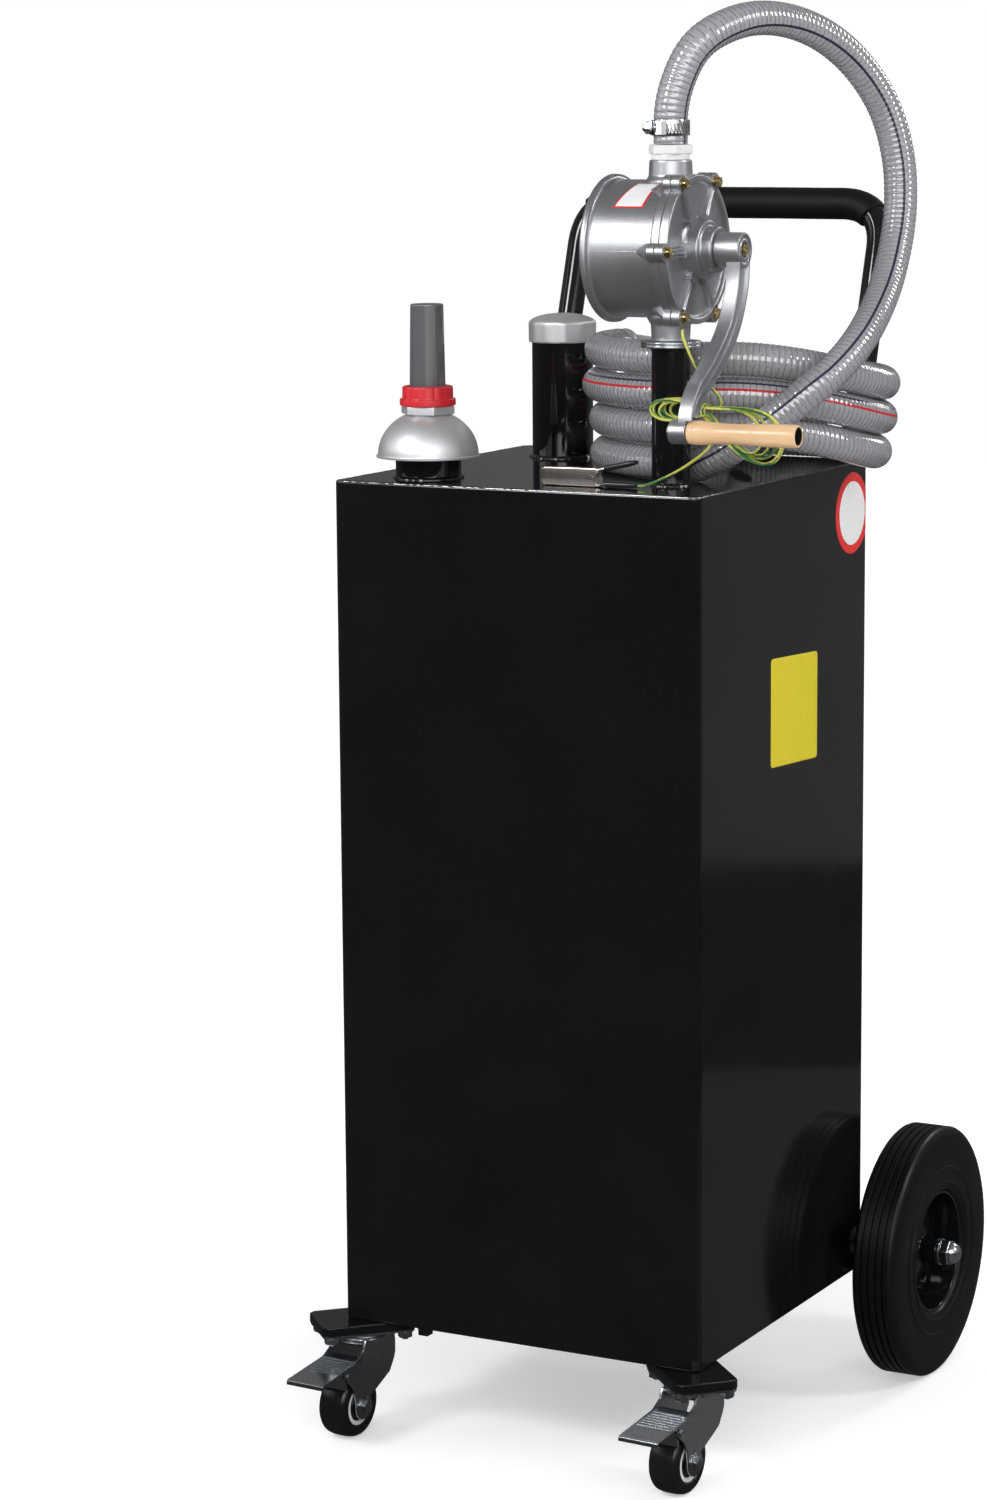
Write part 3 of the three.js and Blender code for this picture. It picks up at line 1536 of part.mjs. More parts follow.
function drawnFromSide(points, width) {
  return turnedAbout(slab(points, -width / 2, width / 2), axisX, quarter);
}

// One jaw with its ear and its tail; the lower one is the same drawing upside down and wider
function jawHalf(width, tailFrom, tailTo) {
  const low = slip / 2;
  const high = low + jawHeight;
  const body = drawnFromSide([
    [-jawReach, low], [-jawEar, low], [-jawEar, -jawEar / 2], [-jawEar / 2, -jawEar],
    [jawEar / 2, -jawEar], [jawEar, -jawEar / 2], [jawEar, low],
    [jawEar * 2, high - tailThick], [jawEar * 2, high], [-jawReach / 3, high],
    [-jawReach, low + jawTipHeight],
  ], width);
  const hollow = block(-jawReach + 2 * jawWall, 3 * jawEar, -width / 2 + jawWall, width / 2 - jawWall,
    -high, high - tailThick);
  const tip = block(-jawReach, -jawReach + jawTipLength, -width, width, -high, high);
  const tail = drawnFromSide([
    [0, high - tailThick], [sleeveStart, tailFrom - tailThick / 2], [tailReach, tailTo - tailThick / 2],
    [tailReach, tailTo + tailThick / 2], [sleeveStart, tailFrom + tailThick / 2], [jawEar, high],
  ], tailWidth);
  return join(cut(body, cut(hollow, tip)), tail);
}

function jawPin(radius) {
  return alongY(rod(radius, -jawWidth / 2, jawWidth / 2, smallSides));
}

function jawUpper() {
  const inside = jawWidth - 2 * jawWall - 2 * slip;
  return cut(jawHalf(inside, upperTailFrom, upperTailTo), jawPin(jawPinRadius + slip));
}

function jawLower() {
  const below = turnedAbout(jawHalf(jawWidth, lowerTailFrom, lowerTailTo), axisX, 2 * quarter);
  return join(below, jawPin(jawPinRadius));
}

// A soft sleeve over a tail, from its start to past the metal's end
function tailSleeve(from, to) {
  const long = Math.hypot(to[0] - from[0], to[1] - from[1]);
  const whole = long + sleeveOver;
  const width = tailWidth + slip;
  const thick = tailThick + slip;
  const outline = roundedOutline(thick + 2 * sleeveWall, width + 2 * sleeveWall, sleeveWall);
  const outer = slab(outline, sleeveWall, whole);
  const inner = slab(roundedOutline(thick, width, seam), -overrun, long + 2 * slip);
  const body = alongX(cut(outer, inner));
  const slope = Math.atan2(to[1] - from[1], to[0] - from[0]);
  return moved(turnedAbout(body, axisY, -slope), from[0], 0, from[1]);
}

function sleeveUpper() {
  return tailSleeve([sleeveStart, upperTailFrom], [tailReach, upperTailTo]);
}

function sleeveLower() {
  return tailSleeve([sleeveStart, -lowerTailFrom], [tailReach, -lowerTailTo]);
}

function clampSpring() {
  const count = springCurls * springSteps;
  const points = Array.from({ length: count + 1 }, (_, i) => {
    const angle = fullTurn * i / springSteps;
    const y = springPitch * (i / springSteps - springCurls / 2);
    return new THREE.Vector3(springRadius * Math.cos(angle), y, springRadius * Math.sin(angle));
  });
  return wound(points, springWire, springSides);
}

function alligatorClamp() {
  return assembly(
    jawPinX, jawPinY, jawPinZ,
    piece('jaw_lower', jawLower(), steel),
    piece('jaw_upper', jawUpper(), steel),
    piece('sleeve_lower', sleeveLower(), blackSleeve),
    piece('sleeve_upper', sleeveUpper(), blackSleeve),
    piece('clamp_spring', clampSpring(), steel),
  );
}

// The whole caddy

const cords = [
  piece('hose_arch', hoseArch(), clearHose),
  piece('hose_coil', hoseCoil(), clearHose),
  piece('earth_wire_drop', earthWireDrop(), wireGreen),
  piece('earth_wire_hank', earthWireHank(), wireGreen),
  piece('earth_wire_lead', earthWireLead(), wireGreen),
];

const tank = assembly(
  0, 0, 0,
  piece('tank_shell', tankShell(), gloss),
  piece('tank_top', tankTop(), gloss),
  piece('handle_frame', handleFrame(), gloss),
  piece('handle_grip', handleGrip(), foam),
  piece('rear_axle', rearAxle(), steel),
  ...[-1, 1].map((side) => {
    const bracket = piece(`axle_bracket_${side < 0 ? 'left' : 'right'}`, axleBracket(), gloss);
    bracket.position.x = side * (sideX - axleBracketOffset);
    return bracket;
  }),
  assembly(drainX, drainY, 0, piece('drain_plug', drainPlug(), gloss)),
  ...[-1, 1].map(rearWheel),
  ...casterPlaces().map(([x, y, side]) => caster(x, y, side)),
);
tank.getObjectByName('rear_axle').position.set(0, axleY, axleZ);

const gauge = assembly(
  gaugeX, gaugeY, tankHeight,
  piece('gauge_collar', moved(neck(collarRadius, collarWall, collarHeight, false), 0, 0, seam), gloss),
  piece('gauge_base', gaugeBase(), silver),
  piece('gauge_dome', gaugeDome(), silver),
  piece('lock_ring', lockRing(), redPlastic),
  piece('level_vial', levelVial(), smoke),
  piece('level_float', levelFloat(), redPlastic),
);

const filler = assembly(
  fillerX, fillerY, tankHeight,
  piece('filler_neck', moved(neck(fillerRadius, fillerWall, fillerHeight, false), 0, 0, seam), gloss),
  piece('filler_cap', fillerCap(), silver),
  piece('cap_seal', capSeal(), rubber),
);

const riser = assembly(
  riserX, riserY, tankHeight,
  piece('pump_riser', moved(neck(riserRadius, riserWall, riserHeight, true), 0, 0, seam), gloss),
  piece('suction_tube', suctionTube(), gloss),
  piece('pump_flange', pumpFlange(), zinc),
);

const outlet = assembly(
  riserX, riserY, pumpZ,
  piece('outlet_fitting', outletFitting(), whitePlastic),
  piece('hose_clamp', hoseClamp(), zinc),
);

const hoseEnd = assembly(
  0, 0, 0,
  piece('hose_spout', hoseSpout(), zinc),
  piece('wire_tie', wireTie(), rubber),
);

// The cords don't count for the middle of the box, which stands at zero
const solids = assembly(0, 0, 0, tank, gauge, filler, riser, pump(), outlet, hoseEnd, alligatorClamp());
solids.updateMatrixWorld(true);
const box = new THREE.Box3().setFromObject(solids, true);
const middle = box.getCenter(new THREE.Vector3());
const caddy = assembly(-middle.x, -middle.y, -box.min.z, solids, ...cords);
caddy.name = 'fuel_caddy';

export default caddy;
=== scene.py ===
import math

import bmesh
import bpy
import numpy as np
from mathutils import Matrix, Vector


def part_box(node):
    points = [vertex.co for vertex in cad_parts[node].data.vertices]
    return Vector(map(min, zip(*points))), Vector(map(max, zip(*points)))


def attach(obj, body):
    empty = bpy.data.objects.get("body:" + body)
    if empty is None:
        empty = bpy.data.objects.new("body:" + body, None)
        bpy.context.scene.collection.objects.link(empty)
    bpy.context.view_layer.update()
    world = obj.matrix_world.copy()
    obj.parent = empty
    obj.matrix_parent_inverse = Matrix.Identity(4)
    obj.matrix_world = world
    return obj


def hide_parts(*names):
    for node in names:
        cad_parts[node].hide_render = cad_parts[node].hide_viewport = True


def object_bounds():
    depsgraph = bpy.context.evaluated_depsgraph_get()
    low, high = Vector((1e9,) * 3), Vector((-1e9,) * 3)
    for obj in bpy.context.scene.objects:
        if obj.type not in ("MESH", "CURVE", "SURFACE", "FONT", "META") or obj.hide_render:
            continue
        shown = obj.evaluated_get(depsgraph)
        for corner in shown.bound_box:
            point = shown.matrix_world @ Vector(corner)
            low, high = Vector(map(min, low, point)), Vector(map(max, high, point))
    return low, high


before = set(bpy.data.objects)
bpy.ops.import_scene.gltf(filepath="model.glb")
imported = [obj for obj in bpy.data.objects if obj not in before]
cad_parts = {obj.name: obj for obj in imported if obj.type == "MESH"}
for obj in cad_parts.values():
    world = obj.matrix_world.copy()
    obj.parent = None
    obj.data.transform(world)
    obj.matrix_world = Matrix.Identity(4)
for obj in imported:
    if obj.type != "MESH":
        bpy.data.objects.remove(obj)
cad_box = [list(corner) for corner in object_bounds()]

MM = 0.001
TURN = 2 * math.pi
QUARTER = TURN / 4
SIDES = {"left": -1, "right": 1}
SEAM = 0.3                      # how far two stretches of a route stay apart where they meet
CREASE, SMOOTH = 32, 180        # degrees up to which edges are shaded round: most pieces, and tubes

# Places in the tank's own frame: its origin is the middle of the tank's underside
shell_low, shell_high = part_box("tank_shell")
TANK = Vector(((shell_low.x + shell_high.x) / 2, (shell_low.y + shell_high.y) / 2, shell_low.z))


def spot(x, y, z):
    return TANK + Vector((x, y, z)) * MM


def place(x=0, y=0, z=0, turn=0, axis="Z"):
    """A frame in metres for a shape that is drawn in millimetres."""
    return Matrix.Translation(spot(x, y, z)) @ Matrix.Rotation(turn, 4, axis) @ Matrix.Scale(MM, 4)


def linked(name, data):
    made = bpy.data.objects.new(name, data)
    bpy.context.scene.collection.objects.link(made)
    return made


# Camera, fitted to the tank's edges in the photograph
CAMERA_SPOT = (1742.13, -3465.33, 1205.19)
CAMERA_YAW, CAMERA_PITCH, CAMERA_ROLL = (math.radians(angle) for angle in (28.314, -9.636, -0.461))
CAMERA_LENS = 96.944
CAMERA_FILM = 36
CAMERA_SIGHT = 200              # metres


def make_camera():
    level = Vector((math.cos(CAMERA_YAW), math.sin(CAMERA_YAW), 0))
    ahead = Vector((
        -math.sin(CAMERA_YAW) * math.cos(CAMERA_PITCH),
        math.cos(CAMERA_YAW) * math.cos(CAMERA_PITCH),
        math.sin(CAMERA_PITCH),
    ))
    upright = level.cross(ahead)
    right = math.cos(CAMERA_ROLL) * level + math.sin(CAMERA_ROLL) * upright
    up = math.cos(CAMERA_ROLL) * upright - math.sin(CAMERA_ROLL) * level
    data = bpy.data.cameras.new("camera")
    data.lens = CAMERA_LENS
    data.sensor_width = CAMERA_FILM
    data.clip_end = CAMERA_SIGHT
    camera = linked("camera", data)
    turned_to = Matrix((right, up, -ahead)).transposed().to_4x4()
    camera.matrix_world = Matrix.Translation(spot(*CAMERA_SPOT)) @ turned_to
    bpy.context.scene.camera = camera


make_camera()
bpy.context.scene.view_settings.view_transform = "Standard"


# Materials: each has colour variation, uneven roughness and a fine bump from its nodes

EVEN = (1, 1, 1)
PATCH_SCALE = 9                 # large patches of tone, for each metre
looks = {}                      # material by name
look_slots = {}                 # the record's slot that a look stands for


class Nodes:
    """A shorthand for the node tree of a material or world."""

    def __init__(self, owner, shader="Principled BSDF"):
        owner.use_nodes = True
        self.owner = owner
        self.tree = owner.node_tree
        self.shader = self.tree.nodes[shader]

    def fill(self, node, inputs):
        """Sets each input, or joins it where the value is an output of another node."""
        for key, value in inputs.items():
            if isinstance(value, bpy.types.NodeSocket):
                self.tree.links.new(value, node.inputs[key])
            else:
                node.inputs[key].default_value = value

    def add(self, kind, inputs, **settings):
        node = self.tree.nodes.new(kind)
        for key, value in settings.items():
            setattr(node, key, value)
        self.fill(node, inputs)
        return node

    def shade(self, **inputs):
        self.fill(self.shader, {key.replace("_", " "): value for key, value in inputs.items()})

    def here(self):
        return self.add("ShaderNodeTexCoord", {}).outputs["Object"]

    def noise(self, scale, detail=3, stretch=EVEN):
        mapping = self.add("ShaderNodeMapping", {"Vector": self.here(), "Scale": stretch})
        inputs = {"Vector": mapping.outputs["Vector"], "Scale": scale, "Detail": detail}
        return self.add("ShaderNodeTexNoise", inputs).outputs["Fac"]

    def ramp(self, value, stops):
        ramp = self.add("ShaderNodeValToRGB", {"Fac": value})
        elements = ramp.color_ramp.elements
        while len(elements) < len(stops):
            elements.new(0.5)
        for element, (position, colour) in zip(elements, stops):
            element.position = position
            element.color = (*colour, 1)
        return ramp.outputs["Color"]

    def span(self, value, low, high, start=0.3, end=0.7):
        inputs = {"Value": value, "From Min": start, "From Max": end, "To Min": low, "To Max": high}
        return self.add("ShaderNodeMapRange", inputs).outputs["Result"]

    def calculate(self, operation, first, second):
        return self.add("ShaderNodeMath", {0: first, 1: second}, operation=operation).outputs[0]

    def bump(self, value, strength, depth):
        bump = self.add("ShaderNodeBump", {"Height": value, "Strength": strength, "Distance": depth})
        self.shade(Normal=bump.outputs["Normal"])

    def shown(self):
        """1 for what the camera sees, straight, mirrored or through glass, and 0 for light."""
        rays = self.add("ShaderNodeLightPath", {}).outputs
        seen = self.calculate("MAXIMUM", rays["Is Camera Ray"], rays["Is Glossy Ray"])
        return self.calculate("MAXIMUM", seen, rays["Is Transmission Ray"])


def new_look(name, slot):
    nodes = Nodes(bpy.data.materials.new(name))
    looks[name], look_slots[name] = nodes.owner, slot
    return nodes


def finish(name, slot, light, dark, rough, grain, bump, stretch=EVEN, **sockets):
    """Two tones mixed by large patches and fine grain, with a bump of the same grain."""
    nodes = new_look(name, slot)
    large = nodes.noise(PATCH_SCALE, 4, stretch)
    fine = nodes.noise(grain, 3, stretch)
    mixed = nodes.calculate("MULTIPLY", nodes.calculate("ADD", large, fine), 0.5)
    nodes.shade(Base_Color=nodes.ramp(mixed, [(0.35, dark), (0.65, light)]),
                Roughness=nodes.span(large, *rough), **sockets)
    nodes.bump(fine, *bump)


def see_through(name, slot, colour, edge_colour, cover, rough, stretch=EVEN, cloudy=0.12, coat_ior=1.5):
    """Clear plastic: thinner where it faces the eye, denser and darker at its edges."""
    nodes = new_look(name, slot)
    facing = nodes.add("ShaderNodeLayerWeight", {"Blend": 0.35}).outputs["Facing"]
    cloud = nodes.noise(60, 3, stretch)
    both = nodes.add("ShaderNodeMix", {0: cloudy, 2: facing, 3: cloud}, data_type="FLOAT").outputs[0]
    nodes.shade(Base_Color=nodes.ramp(both, [(0.1, colour), (0.8, edge_colour)]),
                Alpha=nodes.span(both, *cover, 0, 1), Roughness=nodes.span(cloud, *rough),
                IOR=1.46, Coat_Weight=1.0, Coat_IOR=coat_ior, Coat_Roughness=0.04)
    nodes.bump(nodes.noise(400, 2), 0.05, 0.0002)


def wooden(name, slot):
    """Turned wood: streaks along the shaft, under a thin lacquer."""
    nodes = new_look(name, slot)
    streaks = nodes.noise(60, 6, (0.12, 1, 1))
    fine = nodes.noise(420, 3, (0.08, 1, 1))
    tones = [(0.3, (0.52, 0.31, 0.15)), (0.55, (0.68, 0.45, 0.25)), (0.75, (0.74, 0.52, 0.31))]
    nodes.shade(Base_Color=nodes.ramp(streaks, tones), Roughness=nodes.span(fine, 0.32, 0.5), Coat_Weight=0.25)
    nodes.bump(fine, 0.2, 0.0003)


# Name, slot, light and dark tone, roughness, grain, and the bump's strength and depth in metres
finish("enamel", "black_gloss", (0.0065, 0.0065, 0.0075), (0.004, 0.004, 0.0048), (0.05, 0.12), 260,
       (0.05, 0.0002))
finish("bead_enamel", "black_gloss", (0.0065, 0.0065, 0.0075), (0.004, 0.004, 0.0048), (0.12, 0.34), 90,
       (0.5, 0.0006), Specular_IOR_Level=1.0, Coat_Weight=1.0, Coat_IOR=2.6)
finish("satin_black", "black_gloss", (0.013, 0.013, 0.014), (0.008, 0.008, 0.009), (0.22, 0.34), 320,
       (0.1, 0.0003))
finish("foam", "foam", (0.006, 0.006, 0.0065), (0.003, 0.003, 0.0035), (0.5, 0.65), 900, (0.5, 0.0006),
       Specular_IOR_Level=0.2)
finish("rubber", "tyre", (0.004, 0.004, 0.0044), (0.0024, 0.0024, 0.0027), (0.34, 0.48), 500,
       (0.2, 0.0005), Specular_IOR_Level=0.3)
finish("roller", "tyre", (0.010, 0.010, 0.011), (0.006, 0.006, 0.007), (0.22, 0.34), 300, (0.08, 0.0003))
finish("zinc", "zinc", (0.66, 0.68, 0.71), (0.5, 0.53, 0.56), (0.16, 0.3), 420, (0.1, 0.0002), Metallic=1.0)
finish("cast", "cast_metal", (0.47, 0.48, 0.5), (0.36, 0.37, 0.39), (0.32, 0.44), 700, (0.28, 0.0004),
       Metallic=0.9)
finish("silver", "silver", (0.74, 0.75, 0.77), (0.66, 0.67, 0.69), (0.42, 0.52), 800, (0.12, 0.0002),
       Metallic=0.85)
finish("chrome", "zinc", (0.75, 0.76, 0.78), (0.6, 0.61, 0.63), (0.06, 0.16), 300, (0.05, 0.0002),
       Metallic=1.0)
finish("nickel", "steel", (0.62, 0.58, 0.52), (0.44, 0.4, 0.35), (0.16, 0.3), 300, (0.08, 0.0002),
       Metallic=1.0)
finish("steel", "steel", (0.52, 0.52, 0.52), (0.38, 0.38, 0.38), (0.2, 0.36), 400, (0.12, 0.0002),
       Metallic=1.0)
finish("brass", "brass", (0.74, 0.59, 0.3), (0.5, 0.38, 0.18), (0.18, 0.32), 500, (0.15, 0.0002),
       Metallic=1.0)
finish("red_plastic", "red_plastic", (0.62, 0.016, 0.026), (0.52, 0.01, 0.018), (0.28, 0.4), 260,
       (0.08, 0.0003), Subsurface_Weight=0.05)
finish("white_plastic", "caster_ring", (0.8, 0.8, 0.78), (0.7, 0.7, 0.67), (0.3, 0.45), 260, (0.1, 0.0003))
finish("tape", "tape", (0.84, 0.84, 0.83), (0.68, 0.68, 0.66), (0.45, 0.6), 700, (0.5, 0.0006), (1, 1, 6))
finish("wire_yellow", "wire", (0.56, 0.55, 0.1), (0.46, 0.46, 0.07), (0.3, 0.42), 300, (0.1, 0.0002))
finish("wire_green", "wire", (0.05, 0.2, 0.06), (0.03, 0.13, 0.04), (0.3, 0.42), 300, (0.1, 0.0002))
finish("sleeve_black", "sleeve", (0.012, 0.012, 0.013), (0.007, 0.007, 0.008), (0.2, 0.34), 240, (0.1, 0.0003))
finish("sticker_white", "seal", (0.8, 0.8, 0.8), (0.72, 0.72, 0.73), (0.25, 0.35), 200, (0.05, 0.0002))
finish("sticker_red", "seal", (0.72, 0.03, 0.03), (0.62, 0.02, 0.02), (0.25, 0.35), 200, (0.05, 0.0002))
finish("sticker_yellow", "seal", (0.68, 0.57, 0.015), (0.6, 0.5, 0.01), (0.3, 0.4), 200, (0.05, 0.0002))
finish("spiral_steel", "hose", (0.8, 0.8, 0.82), (0.55, 0.55, 0.57), (0.15, 0.3), 300, (0.1, 0.0001),
       Metallic=0.8)
finish("spout_grey", "zinc", (0.34, 0.34, 0.36), (0.26, 0.26, 0.28), (0.22, 0.34), 300, (0.08, 0.0002))
finish("stripe_red", "hose", (0.5, 0.015, 0.02), (0.4, 0.01, 0.015), (0.15, 0.25), 300, (0.05, 0.0002))
finish("stripe_dark", "hose", (0.03, 0.03, 0.06), (0.02, 0.02, 0.04), (0.15, 0.25), 300, (0.05, 0.0002))
see_through("clear_hose", "hose", (0.4, 0.39, 0.42), (0.23, 0.23, 0.25), (0.72, 0.94), (0.05, 0.12),
            coat_ior=2.0)
# The hose's valley look is painted shade: darker and denser than the clear hose
see_through("hose_valley_shade", "hose", (0.2, 0.195, 0.21), (0.15, 0.15, 0.165), (0.8, 0.95), (0.1, 0.2))
see_through("smoke", "smoke", (0.14, 0.14, 0.15), (0.06, 0.06, 0.07), (0.76, 0.95), (0.06, 0.14),
            (3, 3, 0.05), 0.4)
wooden("wood", "wood")


# Shapes, each a bmesh in millimetres

MERGE = 0.0005                  # points this close are one
SHARP_EDGE = math.radians(28)   # edges beyond this angle get a bevel
LEAST_CORNER = 1.5              # the smallest corner of a slab
EASED_SHARE = 0.48              # how much of a stretch an eased corner may take
TINY = 1e-6


def grid(rows, closed=True, tint_at=lambda row, column: 0):
    """Faces between equal rows of points; closed joins the ends of each row."""
    shape = bmesh.new()
    lines = [[shape.verts.new(point) for point in row] for row in rows]
    count = len(lines[0])
    for row, (lower, upper) in enumerate(zip(lines, lines[1:])):
        for k in range(count if closed else count - 1):
            n = (k + 1) % count
            face = shape.faces.new((lower[k], lower[n], upper[n], upper[k]))
            face.material_index = tint_at(row, k)
    return shape


def cleaned(shape):
    bmesh.ops.remove_doubles(shape, verts=shape.verts, dist=MERGE)
    bmesh.ops.dissolve_degenerate(shape, edges=shape.edges, dist=MERGE)
    bmesh.ops.recalc_face_normals(shape, faces=shape.faces)
    return shape


def lathe(profile, sides=96, outline=lambda angle: 1, tints=None):
    """A body turned about Z through (radius, height, share of the outline) rows.

    tints gives the material index of each stretch of the profile.
    """
    angles = [TURN * k / sides for k in range(sides)]
    rows = []
    for radius, height, share in ((*row, 0)[:3] for row in profile):
        reaches = [radius * (1 + share * (outline(angle) - 1)) for angle in angles]
        rows.append([(reach * math.cos(angle), reach * math.sin(angle), height)
                     for reach, angle in zip(reaches, angles)])
    return cleaned(grid(rows, tint_at=lambda row, _: tints[row] if tints else 0))


def rounded(rows, radius, steps=3):
    """The rows of a profile with each inner corner eased by the radius."""
    points = [Vector(row).to_3d() for row in rows]
    eased = [points[0]]
    for before, point, after in zip(points, points[1:], points[2:]):
        back, on = before - point, after - point
        start = point + back * min(radius / max(back.length, TINY), EASED_SHARE)
        end = point + on * min(radius / max(on.length, TINY), EASED_SHARE)
        for step in range(steps + 1):
            t = step / steps
            eased.append(start * (1 - t) ** 2 + point * (2 * t * (1 - t)) + end * t ** 2)
    return [tuple(point) for point in (*eased, points[-1])]


def turned(rows, soft, sides, steps=3):
    """A body turned through (radius, height) rows with soft corners."""
    return lathe(rounded(rows, soft, steps), sides)


def drum(inner, outer, low, high, soft, sides):
    """A rod, or with an inner radius a washer or pipe; soft eases its corners."""
    rows = [(inner, low), (outer, low), (outer, high), (inner, high)]
    return turned(rows, soft, sides) if soft else lathe(rows, sides)


def extrude(outline, low, high, bevel=0.6, segments=2):
    shape = bmesh.new()
    base = shape.faces.new([shape.verts.new((x, y, low)) for x, y in outline])
    grown = bmesh.ops.extrude_face_region(shape, geom=[base])["geom"]
    for vert in (item for item in grown if isinstance(item, bmesh.types.BMVert)):
        vert.co.z = high
    bmesh.ops.recalc_face_normals(shape, faces=shape.faces)
    if bevel:
        sharp = [edge for edge in shape.edges if edge.calc_face_angle(0) > SHARP_EDGE]
        bmesh.ops.bevel(shape, geom=sharp, offset=bevel, segments=segments, profile=0.5, affect="EDGES",
                        clamp_overlap=True)
    return shape


def box(low_x, high_x, low_y, high_y, low_z, high_z, bevel=0.6):
    corners = [(low_x, low_y), (high_x, low_y), (high_x, high_y), (low_x, high_y)]
    return extrude(corners, low_z, high_z, bevel)


def polygon(radius, sides, start=0.0):
    angles = [start + TURN * k / sides for k in range(sides)]
    return [(radius * math.cos(angle), radius * math.sin(angle)) for angle in angles]


def hexagon(flats, low, high, bevel, start=0.0, segments=2):
    return extrude(polygon(flats / math.sqrt(3), 6, start), low, high, bevel, segments)


def from_side(points, low, high, bevel=0.6):
    """A plate drawn by (y, z) points, from one x to another."""
    shape = extrude(points, low, high, bevel)
    to_side = Matrix(((0, 0, 1, 0), (1, 0, 0, 0), (0, 1, 0, 0), (0, 0, 0, 1)))
    bmesh.ops.transform(shape, matrix=to_side, verts=shape.verts)
    return shape


def mirrored(x, edge, middle=()):
    """A ring at x through (y, z) points and the same points on its other side."""
    return [*((x, -y, z) for y, z in edge), *middle, *((x, y, z) for y, z in reversed(edge))]


def rounded_rectangle(width, depth, corner, steps=8):
    points = []
    for quadrant, (side_x, side_y) in enumerate([(1, 1), (-1, 1), (-1, -1), (1, -1)]):
        for step in range(steps + 1):
            angle = (quadrant + step / steps) * QUARTER
            points.append((
                side_x * (width / 2 - corner) + corner * math.cos(angle),
                side_y * (depth / 2 - corner) + corner * math.sin(angle),
            ))
    return points


def loft(sections, capped=True):
    """Joins equal rings of points, with a face on the first and the last."""
    shape = grid(sections)
    if capped:
        verts = list(shape.verts)
        count = len(sections[0])
        shape.faces.new(verts[:count])
        shape.faces.new(verts[-count:])
    bmesh.ops.recalc_face_normals(shape, faces=shape.faces)
    return shape


def slab(width, depth, corner, rows):
    """A block with round corners through (height, inset) rows."""
    return loft([
        [(x, y, z) for x, y in rounded_rectangle(width - 2 * inset, depth - 2 * inset,
                                                 max(corner - inset, LEAST_CORNER))]
        for z, inset in rows
    ])


def moved(shape, x=0, y=0, z=0, turn=0, axis="Z"):
    matrix = Matrix.Translation((x, y, z)) @ Matrix.Rotation(turn, 4, axis)
    bmesh.ops.transform(shape, matrix=matrix, verts=shape.verts)
    return shape


def tinted(shape, index):
    for face in shape.faces:
        face.material_index = index
    return shape


def mesh_of(name, shape):
    """The shape as a mesh; the shape itself is spent."""
    mesh = bpy.data.meshes.new(name)
    shape.to_mesh(mesh)
    shape.free()
    return mesh


def together(*shapes):
    whole = bmesh.new()
    for shape in shapes:
        part = mesh_of("part", shape)
        whole.from_mesh(part)
        bpy.data.meshes.remove(part)
    return whole


def at_each(spots, make):
    """A copy of a shape at each (x, y) spot."""
    return together(*(moved(make(), x, y) for x, y in spots))


def carved(shape, *cutters):
    """The shape less its cutters."""
    source = linked("source", mesh_of("source", shape))
    tools = [linked("cutter", mesh_of("cutter", cutter)) for cutter in cutters]
    for tool in tools:
        cut = source.modifiers.new("cut", "BOOLEAN")
        cut.operation = "DIFFERENCE"
        cut.solver = "EXACT"
        cut.object = tool
    left = bmesh.new()
    left.from_object(source, bpy.context.evaluated_depsgraph_get())
    for made in (source, *tools):
        mesh = made.data
        bpy.data.objects.remove(made)
        bpy.data.meshes.remove(mesh)
    return left


def piece(name, shape, where, look, node=(), body="caddy", sharp=CREASE):
    """Links a shape as a named piece."""
    mesh = mesh_of(name, shape)
    mesh.transform(where)
    return mesh_piece(name, mesh, look, node, body, sharp)


def mesh_piece(name, mesh, look, node=(), body="caddy", sharp=CREASE):
    """Links a mesh as a named piece that rides on a body, with one look or several.

    node names the CAD node or nodes that it stands for.
    """
    names = [look] if isinstance(look, str) else look
    for one in names:
        mesh.materials.append(looks[one])
    mesh.polygons.foreach_set("use_smooth", [True] * len(mesh.polygons))
    mesh.set_sharp_from_angle(angle=math.radians(sharp))
    made = linked(name, mesh)
    if sharp < SMOOTH:
        made.modifiers.new("even_normals", "WEIGHTED_NORMAL").keep_sharp = True
    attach(made, body)
    if node:
        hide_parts(*([node] if isinstance(node, str) else node))
    return made


def soften(made, width, segments):
    """Eases a piece's edges by a width in metres."""
    soft = made.modifiers.new("soft_edges", "BEVEL")
    soft.width, soft.segments = width, segments
    return soft


# Routes and tubes

CURVE_STEPS = 24                # steps between two given points of a curve


def catmull(points, spacing):
    """Even points along a centripetal curve through the given ones."""
    route = [np.array(point, float) for point in points]
    route = [2 * route[0] - route[1], *route, 2 * route[-1] - route[-2]]
    dense = []
    for a, b, c, d in zip(route, route[1:], route[2:], route[3:]):
        knots = [0.0]
        for start, end in ((a, b), (b, c), (c, d)):
            knots.append(knots[-1] + np.linalg.norm(end - start) ** 0.5)
        t0, t1, t2, t3 = knots
        for t in np.linspace(t1, t2, CURVE_STEPS, endpoint=False):
            a1 = (t1 - t) / (t1 - t0) * a + (t - t0) / (t1 - t0) * b
            a2 = (t2 - t) / (t2 - t1) * b + (t - t1) / (t2 - t1) * c
            a3 = (t3 - t) / (t3 - t2) * c + (t - t2) / (t3 - t2) * d
            b1 = (t2 - t) / (t2 - t0) * a1 + (t - t0) / (t2 - t0) * a2
            b2 = (t3 - t) / (t3 - t1) * a2 + (t - t1) / (t3 - t1) * a3
            dense.append((t2 - t) / (t2 - t1) * b1 + (t - t1) / (t2 - t1) * b2)
    dense.append(route[-2])
    return even(np.array(dense), spacing)


